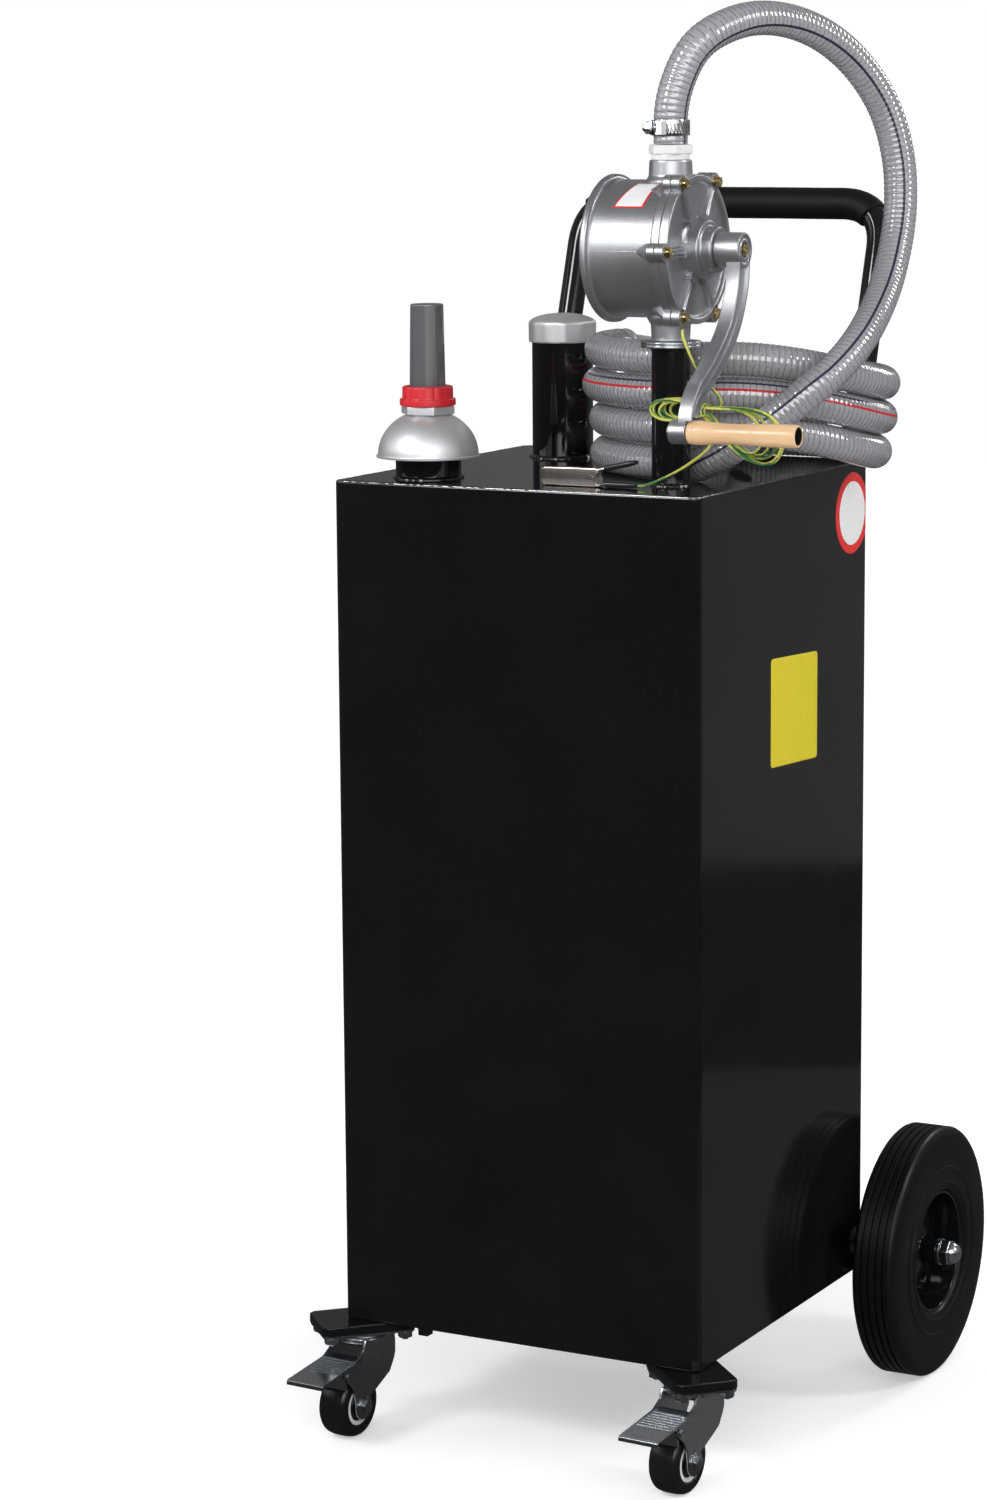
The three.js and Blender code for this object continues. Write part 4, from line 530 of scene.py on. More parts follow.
def even(points, spacing):
    lengths = np.concatenate([[0], np.cumsum(np.linalg.norm(np.diff(points, axis=0), axis=1))])
    count = max(int(round(lengths[-1] / spacing)), 2)
    wanted = np.linspace(0, lengths[-1], count + 1)
    return np.stack([np.interp(wanted, lengths, points[:, k]) for k in range(3)], axis=1)


def frames(points):
    """Directions along a route, and two across it that don't twist."""
    along = np.gradient(points, axis=0)
    along /= np.linalg.norm(along, axis=1)[:, None]
    across = [unit(np.cross(along[0], (0.3, -0.5, 0.8)))]
    for direction in along[1:]:
        across.append(unit(across[-1] - direction * np.dot(across[-1], direction)))
    across = np.array(across)
    return along, across, np.cross(along, across)


def unit(vector):
    return vector / np.linalg.norm(vector)


def swept(points, radius, sides, tint_at=lambda i, k: 0, capped=True):
    """A mesh tube along a route; radius is a number, or radius(i, angles) gives them at a step."""
    _, across, over = frames(points)
    angles = TURN * np.arange(sides) / sides
    cosines, sines = np.cos(angles)[:, None], np.sin(angles)[:, None]
    verts = np.concatenate([
        points[i] + (radius(i, angles) if callable(radius) else np.full(sides, radius))[:, None] * (
            cosines * across[i] + sines * over[i]
        )
        for i in range(len(points))
    ])
    faces, tints = [], []
    for i in range(len(points) - 1):
        for k in range(sides):
            n = (k + 1) % sides
            faces.append((i * sides + k, i * sides + n, (i + 1) * sides + n, (i + 1) * sides + k))
            tints.append(tint_at(i, k))
    if capped:
        faces += [tuple(reversed(range(sides))), tuple(range(len(verts) - sides, len(verts)))]
        tints += [0, 0]
    mesh = bpy.data.meshes.new("tube")
    mesh.from_pydata(metres(verts), [], faces)
    mesh.polygons.foreach_set("material_index", tints)
    mesh.update()
    return mesh


def metres(points):
    return [tuple(spot(*point)) for point in points]


def length_of(points):
    """A route's length in metres."""
    return float(np.linalg.norm(np.diff(points, axis=0), axis=1).sum()) * MM


def smooth_step(share):
    inside = min(max(share, 0), 1)
    return inside * inside * (3 - 2 * inside)


# Hose: a ribbed clear tube that runs up from the pump, over and into the stored coil

HOSE_RADIUS = 15.8
HOSE_SPACING = 1.0
HOSE_SIDES = 40
RIB_PITCH = 5.5
RIB_HEIGHT = 0.55
# share of each rib's turn that gets the painted valley shade
VALLEY_SHADE_SHARE = 0.08
COIL_CENTRE = (112.5, 66.2)
COIL_LOW = 836.1
COIL_PITCH = 32.8
COIL_FIRST, COIL_LAST = 265, -902   # degrees
COIL_RADII = [135.5, 127, 131, 137.5, 134.5]
COIL_CLIMB = (25, -70)              # degrees between which each turn climbs
COIL_CLIMBS = 3
COIL_STEPS = 800
# Where each stripe runs: its look, and how many turns round the hose it lies at each way along it
STRIPE_WAYS = (0, 845, 895, 1100, 1400, 1500, 1800, 1900, 3000, 3110, 3200, 3588)
HOSE_STRIPES = {
    1: (0.44, 0.44, 0.42, 0.75, 0.75, 0.42, 0.42, 0.86, 0.86, 0.6, 0.35, 0.3),
    2: (0.885, 0.885, 0.47, 0.8, 0.8, 0.47, 0.47, 0.93, 0.93, 0.67, 0.42, 0.37),
}
# index of the look that paints shade into each valley
VALLEY_SHADE_LOOK = 3
ARCH = [
    (121, -107, 1132.2), (121, -107, 1150), (122, -107, 1165), (126, -104, 1186), (136, -96, 1212.8),
    (147, -84, 1228.5), (166, -44, 1243.4), (185, 6, 1243), (205, 52, 1227.6), (223, 90, 1199.1),
    (239, 113, 1161.2), (249.5, 122, 1115.3), (254, 117, 1065), (257.5, 84, 1009), (264, 26, 968),
    (262, -12, 943), (251, -40, 921), (238.8, -56, 907.5), (214, -71, 885), (190, -80, 867),
    (168, -83.5, 852), (150, -79.5, 843),
]


def coil_point(angle):
    passed = (COIL_FIRST - angle) / 360
    first = (COIL_FIRST - 180) / 360
    radius = np.interp(passed, [0, first, first + 1, first + 2, first + 3], COIL_RADII)
    start, end = COIL_CLIMB
    climbed = sum(smooth_step((start - 360 * turn - angle) / (start - end)) for turn in range(COIL_CLIMBS))
    around = math.radians(angle)
    return np.array([
        COIL_CENTRE[0] + radius * math.cos(around),
        COIL_CENTRE[1] + radius * math.sin(around),
        COIL_LOW + COIL_PITCH * climbed,
    ])


coil_route = np.array([coil_point(angle) for angle in np.linspace(COIL_FIRST, COIL_LAST, COIL_STEPS)])
coil_in = unit(coil_route[0] - coil_point(COIL_FIRST - 1))
arch_end = [coil_route[0] + coil_in * reach for reach in (2 * HOSE_RADIUS, HOSE_RADIUS, SEAM)]
arch_route = catmull([*ARCH, *arch_end], 2 * HOSE_SPACING)
hose_route = even(np.concatenate([arch_route, coil_route]), HOSE_SPACING)
hose_steps = np.arange(len(hose_route))
hose_passed = hose_steps * length_of(hose_route) / MM / (len(hose_route) - 1)
stripe_sides = {
    index: np.floor(np.interp(hose_passed, STRIPE_WAYS, turns) * HOSE_SIDES).astype(int) % HOSE_SIDES
    for index, turns in HOSE_STRIPES.items()
}


def hose_radius(i, angles):
    """A helical rib that is round on top, with a narrow valley between its turns."""
    turn = TURN * hose_passed[i] / RIB_PITCH - angles
    return HOSE_RADIUS - RIB_HEIGHT + RIB_HEIGHT * np.abs(np.cos(turn / 2))


def hose_tint(i, k):
    """Two thin stripes along the tube, one red and one dark, and painted shade in the valley beside each rib.
    """
    for index, sides in stripe_sides.items():
        if k == sides[i]:
            return index
    turn = hose_passed[i] / RIB_PITCH - (k + 0.5) / HOSE_SIDES
    return VALLEY_SHADE_LOOK if abs(turn % 1 - 0.5) < VALLEY_SHADE_SHARE else 0


hose_mesh = swept(hose_route, hose_radius, HOSE_SIDES, hose_tint)
hose = mesh_piece("hose", hose_mesh, ["clear_hose", "stripe_red", "stripe_dark", "hose_valley_shade"],
                  ("hose_arch", "hose_coil"), sharp=SMOOTH)

# The steel spiral in the hose's wall
SPIRAL_RADIUS = 13.4
SPIRAL_WIRE = 0.7
SPIRAL_SIDES = 5
SPIRAL_STEPS = 14               # for each turn
spiral_turns = hose_passed[-1] / RIB_PITCH
spiral_share = np.linspace(0, 1, int(spiral_turns * SPIRAL_STEPS))
spiral_at = spiral_share * (len(hose_route) - 1)
spiral_angle = TURN * spiral_turns * spiral_share


def along_spiral(values):
    return np.stack([np.interp(spiral_at, hose_steps, values[:, k]) for k in range(3)], axis=1)


_, hose_across, hose_over = frames(hose_route)
spiral_route = along_spiral(hose_route) + SPIRAL_RADIUS * (
    np.cos(spiral_angle)[:, None] * along_spiral(hose_across)
    + np.sin(spiral_angle)[:, None] * along_spiral(hose_over)
)
spiral_mesh = swept(spiral_route, SPIRAL_WIRE, SPIRAL_SIDES)
hose_spiral = mesh_piece("hose_spiral", spiral_mesh, "spiral_steel", sharp=SMOOTH)

# The plain bent spout in the hose's upper end, with its collar
SPOUT = [
    (-24.5, 98, 933), (-17, 111.5, 930.5), (2, 122, 926), (25, 128, 915), (45, 130, 900), (62, 128, 880),
    (78, 122.5, 853), (88, 118.5, 834),
]
SPOUT_SPACING = 2.0
SPOUT_SIDES = 32
SPOUT_PIPE, SPOUT_COLLAR = 11, 15
SPOUT_STRAIGHT = 18
COLLAR_END, SHOULDER = 14, 6
GROOVE_PITCH, GROOVE_FROM, GROOVE_TO, GROOVE_DEPTH = 5, 1, 3, 0.6
MOUTH_LENGTH, MOUTH_RISE, MOUTH_EASE = 5, 0.8, 3
spout_away = unit(coil_route[-1] - coil_point(COIL_LAST + 1))
spout_start = coil_route[-1] + spout_away * SEAM
spout_route = catmull([spout_start, spout_start + spout_away * SPOUT_STRAIGHT, *SPOUT], SPOUT_SPACING)
spout_passed = np.arange(len(spout_route)) * SPOUT_SPACING


def spout_radius(i, angles):
    """A collar with grooves, a soft shoulder, then the pipe with a rolled mouth."""
    passed = spout_passed[i]
    shoulder = 1 - smooth_step((passed - COLLAR_END) / SHOULDER)
    grooved = passed < COLLAR_END and GROOVE_FROM <= passed % GROOVE_PITCH < GROOVE_TO
    mouth = MOUTH_RISE * smooth_step((passed - spout_passed[-1] + MOUTH_LENGTH) / MOUTH_EASE)
    radius = SPOUT_PIPE + (SPOUT_COLLAR - SPOUT_PIPE) * shoulder - GROOVE_DEPTH * grooved + mouth
    return np.full(len(angles), radius)


spout = mesh_piece("spout", swept(spout_route, spout_radius, SPOUT_SIDES), "spout_grey", "hose_spout")

# Earth wire: yellow with green stripes, dropped from a bolt, wound to a hank and led to its clamp
WIRE_RADIUS = 1.4
WIRE_SPACING = 1.0
WIRE_SIDES = 10
GREEN_SIDES, GREEN_WINDING = 3.5, 9
WIRE_LEAD_IN = (4 * WIRE_RADIUS, SEAM)
HANK_SPOT = (173, -129, 893)
HANK_LEFT, HANK_RIGHT = 55, 80
HANK_LEFT_RISE, HANK_RIGHT_RISE = 14, 44
HANK_PITCH = 3.5
HANK_WAIST = 3.4
HANK_SAG = 25
HANK_LEAST, HANK_MORE, HANK_BEAT = 0.7, 0.3, 2.4    # each loop's share of the full size
HANK_STEPS = 400
HANK_FIRST, HANK_LAST = 0.25, 5.75
DROP = [
    (151.5, -146, 966), (153, -148.5, 961), (158, -149.5, 950), (166, -147, 933), (175, -141, 917),
    (182, -134, 906), (183, -130.5, 899.5),
]
LEAD = [
    (182, -150, 888), (187, -151, 882), (187, -152, 872), (180, -152, 860), (165, -151, 848),
    (145, -149.5, 836), (128, -149, 828), (112.6, -149, 823.05), (107.3, -149, 823.05),
]


def hank_point(turn):
    """A flat loop, wider and higher at its right; the loops differ a little in size."""
    angle = TURN * turn
    grown = HANK_LEAST + HANK_MORE * (1 + math.cos(HANK_BEAT * turn)) / 2
    across = math.cos(angle)
    share = abs(across) * grown
    rise = HANK_WAIST + (HANK_LEFT_RISE if across < 0 else HANK_RIGHT_RISE) * share
    sag = HANK_SAG * share * (2 - share) if across > 0 else 0
    return np.array([
        HANK_SPOT[0] + across * grown * (HANK_LEFT if across < 0 else HANK_RIGHT),
        HANK_SPOT[1] - HANK_PITCH * turn,
        HANK_SPOT[2] + rise * math.sin(angle) - sag,
    ])


hank_route = np.array([hank_point(turn) for turn in np.linspace(HANK_FIRST, HANK_LAST, HANK_STEPS)])
hank_in = unit(hank_point(HANK_FIRST) - hank_point(HANK_FIRST + 1 / 12))
hank_out = unit(hank_point(HANK_LAST) - hank_point(HANK_LAST - 1 / 12))
drop_end = [hank_route[0] + hank_in * reach for reach in WIRE_LEAD_IN]
lead_start = [hank_route[-1] + hank_out * reach for reach in reversed(WIRE_LEAD_IN)]
drop_route = catmull([*DROP, *drop_end], WIRE_SPACING)
lead_route = catmull([*lead_start, *LEAD], WIRE_SPACING)
wire_route = even(np.concatenate([drop_route, hank_route, lead_route]), WIRE_SPACING)


def wire_tint(i, k):
    """Green covers a third of the wire, and winds slowly round it."""
    return 1 if (k - i / GREEN_WINDING) % WIRE_SIDES < GREEN_SIDES else 0


TIE_RADIUS = 0.9
TIE_TURNS, TIE_PITCH = 1.6, 3
TIE_DEEP, TIE_HIGH = 11.6, 6.1
TIE_STEPS, TIE_SPACING = 120, 0.8


def tie_point(turn):
    """Wire twisted round the hank's waist, at the middle of its loops."""
    angle = TURN * turn
    return np.array([
        HANK_SPOT[0] - 2 + TIE_PITCH * turn,
        HANK_SPOT[1] - HANK_PITCH * 3 + TIE_DEEP * math.cos(angle),
        HANK_SPOT[2] + TIE_HIGH * math.sin(angle),
    ])


WIRE_LOOKS = ["wire_yellow", "wire_green"]
earth_wire = mesh_piece("earth_wire", swept(wire_route, WIRE_RADIUS, WIRE_SIDES, wire_tint), WIRE_LOOKS,
                        ("earth_wire_drop", "earth_wire_hank", "earth_wire_lead"), sharp=SMOOTH)
tie_route = even(np.array([tie_point(turn) for turn in np.linspace(0, TIE_TURNS, TIE_STEPS)]), TIE_SPACING)
tie = mesh_piece("wire_tie_wound", swept(tie_route, TIE_RADIUS, WIRE_SIDES, wire_tint), WIRE_LOOKS, "wire_tie",
                 sharp=SMOOTH)

# Alligator clamp: two pressed jaws with a toothed edge, a spring, and soft sleeves on the tails
JAW_PIN = (62, -149, 828.95)
JAW_LOW, JAW_HIGH = 0.15, 8.65
JAW_CROWN = 1.3
TAIL_SHEET = 1.6
TOOTH_ROOT, TOOTH_TIP = 0.05, 1.4
TOP_TAIL, LOW_TAIL = (8.2, 13.5), (5.9, 5.9)    # heights of a tail where its sleeve starts and ends
jaw_place = place(*JAW_PIN)


def jaw(width, tail, turn):
    """One jaw drawn along X and Z from the pin, with its pressed ribs and rolled tail."""
    rows = [(-52, 6.4, 0.84), (-51.2, 7.5, 0.94), (-48, 8.2, 1), (-17, JAW_HIGH, 1), (-16.6, JAW_HIGH, 1.07),
            (-4, JAW_HIGH, 1.07), (5, JAW_HIGH, 1.07), (7, JAW_HIGH - 0.3, 0.9), (11, tail[0] + 0.8, 0.55),
            (36, tail[1] + 0.8, 0.5)]
    sections = []
    for x, top, share in rows:
        half = width / 2 * share
        bottom = JAW_LOW if x < 6 else top - TAIL_SHEET
        crown = min(JAW_CROWN, (top - bottom) * 0.45)
        sections.append(mirrored(x, [(half, bottom), (half, top - crown),
                                     (half - crown * 0.4, top - crown * 0.3), (half * 0.4, top)]))
    return moved(loft(sections), turn=turn, axis="X")


def teeth(side, width):
    """Small teeth along the meeting edges of the two jaws' tips."""
    root, tip = side * TOOTH_ROOT, side * TOOTH_TIP
    starts = [-51 + 3.2 * number for number in range(5)]
    return [moved(extrude([(x, root), (x + 1.5, tip), (x + 3, root)], width / 2, -width / 2, 0),
                  turn=QUARTER, axis="X") for x in starts]


def sleeve(tail, turn):
    """A soft flattened sleeve that tapers over the tail and is pinched past its end."""
    start, run, climb = (11, tail[0]), 36 - 11, tail[1] - tail[0]
    long, slope = math.hypot(run, climb), math.atan2(climb, run)
    sections = []
    for along, half_wide, half_thick in [
        (1.8, 4.6, 2.2), (2.6, 5.2, 2.75), (8, 5.3, 2.8), (20, 5.2, 2.75), (long + 2, 4.9, 2.6),
        (long + 6, 4.2, 2.3), (long + 8.2, 3.6, 2.0), (long + 9, 2.6, 1.4),
    ]:
        ring = []
        for cosine, sine in polygon(1, 20):
            y = half_wide * math.copysign(abs(cosine) ** 0.7, cosine)
            z = half_thick * math.copysign(abs(sine) ** 0.8, sine)
            ring.append((start[0] + along * math.cos(slope) - z * math.sin(slope), y,
                         start[1] + along * math.sin(slope) + z * math.cos(slope)))
        sections.append(ring)
    return moved(loft(sections), turn=turn, axis="X")


SPRING_WIRE, SPRING_RADIUS, SPRING_PITCH = 0.5, 2.7, 1.2
SPRING_TURNS, SPRING_STEPS = 5, 160


def spring_point(angle):
    """A coil round the pin, with as many turns on one side of its middle as on the other."""
    return (JAW_PIN[0] + SPRING_RADIUS * math.cos(angle),
            JAW_PIN[1] + SPRING_PITCH * (angle / TURN - SPRING_TURNS / 2),
            JAW_PIN[2] + SPRING_RADIUS * math.sin(angle))


pin_rows = [(0, -7.6), (2.6, -7.6), (2.6, -6.9), (1.5, -6.9), (1.5, 6.9), (2.6, 6.9), (2.6, 7.6), (0, 7.6)]
pin = moved(turned(pin_rows, 0.3, 24), turn=-QUARTER, axis="X")
jaw_top = together(jaw(11, TOP_TAIL, 0), *teeth(1, 5))
jaw_low = together(jaw(14, LOW_TAIL, math.pi), *teeth(-1, 6), pin)
piece("clamp_jaw_top", jaw_top, jaw_place, "nickel", "jaw_upper", "clamp_jaw")
piece("clamp_jaw_low", jaw_low, jaw_place, "nickel", "jaw_lower")
piece("clamp_sleeve_top", sleeve(TOP_TAIL, 0), jaw_place, "sleeve_black", "sleeve_upper", "clamp_jaw")
sleeve_low = piece("clamp_sleeve_low", sleeve(LOW_TAIL, math.pi), jaw_place, "sleeve_black", "sleeve_lower")
spring_angles = np.linspace(0, SPRING_TURNS * TURN, SPRING_STEPS)
spring_route = np.array([spring_point(angle) for angle in spring_angles])
mesh_piece("clamp_spring_wound", swept(spring_route, SPRING_WIRE, 8), "steel", "clamp_spring", sharp=SMOOTH)


# Tank: a wrapped sheet body, a welded lid with a small rounded rim, three necks and a drain
TANK_WIDTH, TANK_DEPTH, TANK_HEIGHT = 382, 390, 820
TANK_CORNER = 10
LID_LOW = 812
LID_ROUND = 3
GAUGE = (-119, -137)
FILLER = (-97, 98)
RISER = (121, -107)
LID_HOLES = ((28.5, GAUGE), (27.5, FILLER), (15, RISER))
SEAM_INSET, SEAM_DROP, SEAM_STEP = 1.2, 1.3, 2.4

body_rows = [(0, 2.2), (0.6, 0.9), (2.4, 0), (811.9, 0)]
lid_rows = [(LID_LOW, 0.1), (LID_LOW + 0.6, 0), (TANK_HEIGHT - LID_ROUND, 0)]
lid_rows += [(TANK_HEIGHT - LID_ROUND + LID_ROUND * math.sin(a), LID_ROUND - LID_ROUND * math.cos(a))
             for a in np.linspace(0.25, QUARTER, 6)]
lid_cutters = [moved(drum(0, radius, 800, 830, 0, 48), x, y) for radius, (x, y) in LID_HOLES]
piece("tank_body", slab(TANK_WIDTH, TANK_DEPTH, TANK_CORNER, body_rows), place(), "enamel", "tank_shell")
piece("tank_lid", carved(slab(TANK_WIDTH, TANK_DEPTH, TANK_CORNER, lid_rows), *lid_cutters), place(), "enamel",
      "tank_top")

# The weld along the lid's rim, uneven as a hand-run bead is
seam_corners = rounded_rectangle(TANK_WIDTH - 2 * SEAM_INSET, TANK_DEPTH - 2 * SEAM_INSET,
                                 TANK_CORNER - SEAM_INSET)
seam_loop = np.array([(x, y, TANK_HEIGHT - SEAM_DROP) for x, y in (*seam_corners, seam_corners[0])])
seam_route = even(seam_loop, SEAM_STEP)
seam_bulge = 0.8 + 0.5 * np.random.default_rng(7).random(len(seam_route))
seam_mesh = swept(seam_route, lambda i, angles: np.full(len(angles), seam_bulge[i]), 8, capped=False)
mesh_piece("lid_weld", seam_mesh, "bead_enamel", sharp=SMOOTH)


def wavy_bead(seed):
    """A foot bead's outline: low irregular waves round the neck."""
    random = np.random.default_rng(seed)
    sizes, starts = random.uniform(0.004, 0.012, 5), random.uniform(0, TURN, 5)
    counts = (7, 11, 16, 23, 31)
    return lambda angle: 1 + sum(size * math.sin(count * angle + start)
                                 for size, count, start in zip(sizes, counts, starts))


def neck(name, radius, wall, height, at, node, seed, bead_on_top=False):
    inner = radius - wall
    foot = (radius + 2.4, 0.1, 1)
    rows = [foot, (radius + 2.3, 0.9, 1), (radius + 1.5, 2.0, 1), (radius + 0.4, 2.6, 1), (radius, 3.2)]
    if bead_on_top:
        rows += [(radius, height - 3), (radius + 0.5, height - 2.2, 1), (radius + 1, height - 1.2, 1),
                 (radius + 1, height - 0.2, 1), (radius - 1, height)]
    else:
        rows += [(radius, height - 0.8), (radius - 0.3, height - 0.2), (radius - 0.9, height)]
    rows += [(inner + 0.4, height), (inner, height - 0.5), (inner, 0.1), foot]
    piece(name, lathe(rows, 96, wavy_bead(seed)), place(*at, TANK_HEIGHT), "enamel", node)


neck("gauge_neck", 31, 2.5, 26, GAUGE, "gauge_collar", 3)
neck("filler_pipe", 30.15, 2.6, 128, FILLER, "filler_neck", 4)
neck("riser_pipe", 18, 3, 127, RISER, "pump_riser", 5, bead_on_top=True)

drain_boss = turned([(0, -0.2), (10, -0.2), (10, -8), (0, -8)], 0.6, 48)
drain_square = extrude(polygon(11 / math.sqrt(2), 4, TURN / 8), -16, -7.9, 0.8)
piece("drain", together(drain_boss, drain_square), place(-118, -163), "satin_black", "drain_plug")


# Level gauge: spun dome, hexagon base with its thread, lobed ring and a clear tapered vial
def dome(radius, height, angles):
    """Rows of a dome that starts at the spun rim's top."""
    return [(radius * math.cos(a), 22 + height * math.sin(a)) for a in angles]


def ring_lobes(angle):
    """Twelve round lobes with a narrow groove between each two."""
    return 1 + 0.04 * (abs(math.cos(6 * angle)) ** 0.6 - 0.5)


gauge_place = place(*GAUGE, TANK_HEIGHT)
dome_rows = [
    (46.2, 20), (49.0, 20), (49.2, 20.5), (49.2, 21.6), (48.9, 22), (47.9, 22.2),
    *dome(47.7, 42.3, np.linspace(0.02, math.acos(20 / 47.7), 28)),
    *dome(46.2, 40.8, np.linspace(math.acos(20 / 46.2), 0, 14)), (46.2, 20),
]
piece("gauge_cover", lathe(dome_rows, 128), gauge_place, "silver", "gauge_dome", sharp=24)

thread_rows = [
    (0, 26.1), (30.9, 26.1), (30.9, 29), (22.5, 29), (22.5, 57), (17, 57), (17, 68), (19.4, 68.4),
    *((19.8 if n % 2 else 18.6, 69 + 0.85 * n) for n in range(10)), (19, 77.5), (0, 77.5),
]
base_hex = hexagon(46, 60.5, 68.5, 1.2, 0.2, 3)
gauge_foot = together(turned(thread_rows, 0.3, 72, 2), base_hex)
piece("gauge_hexagon", gauge_foot, gauge_place, "silver", "gauge_base")

ring_rows = [(20.2, 68.8), (26.2, 68.8), (26.5, 69.3), (26.5, 74.2), (26.1, 74.8), (24.4, 75), (23.8, 75.6, 1),
             (23.6, 76.5, 1), (23.5, 85, 1), (23.1, 86.2, 1), (22.3, 86.8, 0.6), (17.8, 86.8), (17.3, 86.3),
             (17.3, 80.8), (20.1, 80.4), (20.2, 68.8)]
piece("gauge_ring", lathe(ring_rows, 240, ring_lobes), gauge_place, "red_plastic", "lock_ring", sharp=40)

vial_rows = [(15, 77.8), (19.6, 77.8), (19.8, 78.2), (19.8, 79.8), (19.4, 80.2), (17.2, 80.3), (17, 81),
             (15.6, 162.2), (15.3, 163.2), (14.6, 163.7), (0, 163.7), (0, 161.2), (13, 161.2), (13.5, 160.6),
             (15, 77.8)]
piece("gauge_vial", lathe(vial_rows, 96), gauge_place, "smoke", "level_vial", sharp=26)


# Filler cap: twelve shallow flats with rounded edges between them, and a low dome
def cap_flats(angle):
    """Twelve hollow flats: full at the soft ribs, drawn in between them."""
    return 1 - 0.022 * math.sin(6 * angle) ** 2


cap_rows = [(0, 131.5), (31.1, 131.5), (31.1, 114.1), (32.6, 114.1, 0.4), (33.1, 114.6, 0.8), (33.4, 116, 1),
            (33.5, 131.6, 1), (33.3, 133.2, 0.8), (32.8, 134.4, 0.4), (31.6, 135.6, 0.1), (29, 137.2),
            (24, 139.3), (17, 141), (9, 142), (0, 142.1)]
piece("filler_lid", lathe(cap_rows, 240, cap_flats), place(*FILLER, TANK_HEIGHT), "silver", "filler_cap",
      "cap", sharp=40)

# Rotary pump, drawn with its shaft along +Z and its upper port along -X
PUMP = (*RISER, 1037)
LOBES = 6
LOBE_RADIUS = 8.5
LOBE_SPOTS = polygon(69.5, LOBES, QUARTER)
pump_place = place(*PUMP, QUARTER, "Y")


def spokes(make):
    """A copy of a shape turned to each lobe."""
    return together(*(moved(make(), turn=QUARTER + TURN * k / LOBES) for k in range(LOBES)))


def gusset():
    """The cast foot of a lobe, which tapers back along the barrel."""
    return loft([
        [(60, -half, z), (reach - 2, -half, z), (reach, -half * 0.6, z), (reach, half * 0.6, z),
         (reach - 2, half, z), (60, half, z)]
        for z, reach, half in [(-4, 63.5, 2.5), (2, 66, 5), (8, 71.5, 7.6), (13, 75, 8.3)]
    ])


def rib():
    """A spoke of the cover: two walls with a groove between them."""
    sections = []
    for x, half, top in [(24, 4.4, 30.5), (34, 3.6, 29.4), (50, 3.0, 28.9), (60, 3.0, 28.9), (68, 4.2, 29.1)]:
        edge = [(half + 0.8, 24.6), (half, top - 0.5), (half - 0.6, top), (half * 0.35, top)]
        sections.append(mirrored(x, edge, [(x, 0, top - 0.9)]))
    return loft(sections)


def cover_bolt():
    """A brass bolt with a chamfered hexagon head and a washer face."""
    washer = drum(0, 5.6, 29.1, 29.9, 0.2, 32)
    mark = turned([(0, 33.2), (3.4, 33.2), (3.4, 34.3), (2.6, 34.3), (2.2, 33.9), (0, 33.9)], 0.1, 24)
    return tinted(together(hexagon(9, 29.6, 34.1, 0.7, 0.3), washer, mark), 1)


barrel_rows = [(0, -61), (66, -61), (68, -59), (68, -56), (67, -55), (68, -54), (65, -54), (63, -52), (63, 10),
               (67.6, 12), (68, 13), (68, 20), (0, 20)]
port_up_rows = [(0, 50), (23, 50), (23, 62), (20.2, 66.5), (19.5, 80), (18.9, 81), (13, 81), (13, 60), (0, 60)]
port_down_rows = [(0, 50), (22, 50), (22, 63), (18.4, 69), (17.7, 83.6), (0, 83.6)]
housing = together(
    turned(barrel_rows, 0.9, 160),
    moved(turned(port_up_rows, 1.2, 72), turn=-QUARTER, axis="Y"),
    moved(turned(port_down_rows, 1.4, 72), turn=QUARTER, axis="Y"),
    *(moved(box(62.4, 63.35, -0.35, 0.35, -52, 10, 0.2), turn=turn) for turn in (QUARTER, -QUARTER)),
    at_each(LOBE_SPOTS, lambda: drum(0, LOBE_RADIUS, 12, 20, 1.2, 40)),
    spokes(gusset),
)
piece("pump_body", housing, pump_place, "cast", "pump_housing")

cover_rows = [(0, 20.2), (67.6, 20.2), (68, 20.8), (68, 28.4), (67, 29.1), (63, 29.1), (61.6, 27.6),
              (60.6, 25.4), (58, 25.1), (30.5, 25.1), (27.6, 27.5), (27, 30), (27, 38), (25.9, 39.1),
              (22.5, 39.1), (21.3, 40.3), (21, 48.6), (20, 49.6), (7.4, 49.6), (7.4, 46), (0, 46)]
cover = together(
    turned(cover_rows, 0.7, 160),
    at_each(LOBE_SPOTS, lambda: drum(0, LOBE_RADIUS, 20.3, 29.1, 1.0, 40)),
    spokes(rib), spokes(lambda: box(22, 33.5, -6.6, 6.6, 24.6, 31.6, 0.9)),
    at_each(LOBE_SPOTS, cover_bolt),
)
piece("pump_face", cover, pump_place, ["cast", "brass"], "pump_cover")

flange_rows = [(12.8, 947.2), (27.4, 947.2), (28, 947.8), (28, 949.4), (27.2, 950), (28, 950.6), (28, 952.6),
               (27.4, 953.2), (12.8, 953.2), (12.8, 947.2)]
piece("riser_flange", turned(flange_rows, 0.3, 96, 2), place(*RISER), "zinc", "pump_flange")

# Crank: a cast I-section arm that sweeps forwards on its way down
CRANK_REACH = 189
CRANK_SHARES = [                # how far ahead and down it goes, as shares of the reach
    (0, 0), (0.015, 0.17), (0.116, 0.375), (0.344, 0.566), (0.49, 0.66), (0.556, 0.76), (0.556, 0.831),
]
ARM_LOW, ARM_HIGH = 60.9, 74.9
ARM_HALF, ARM_END_HALF = 12, 7.5
ARM_FLANGE, ARM_POCKET, ARM_SOFT = 3.4, 3.6, 0.9
GRIP_SPOT = (157.06, -105.08)
arm_route = catmull([(CRANK_REACH * down, -CRANK_REACH * ahead, 0) for ahead, down in CRANK_SHARES], 2.0)
arm_along, _, _ = frames(arm_route)


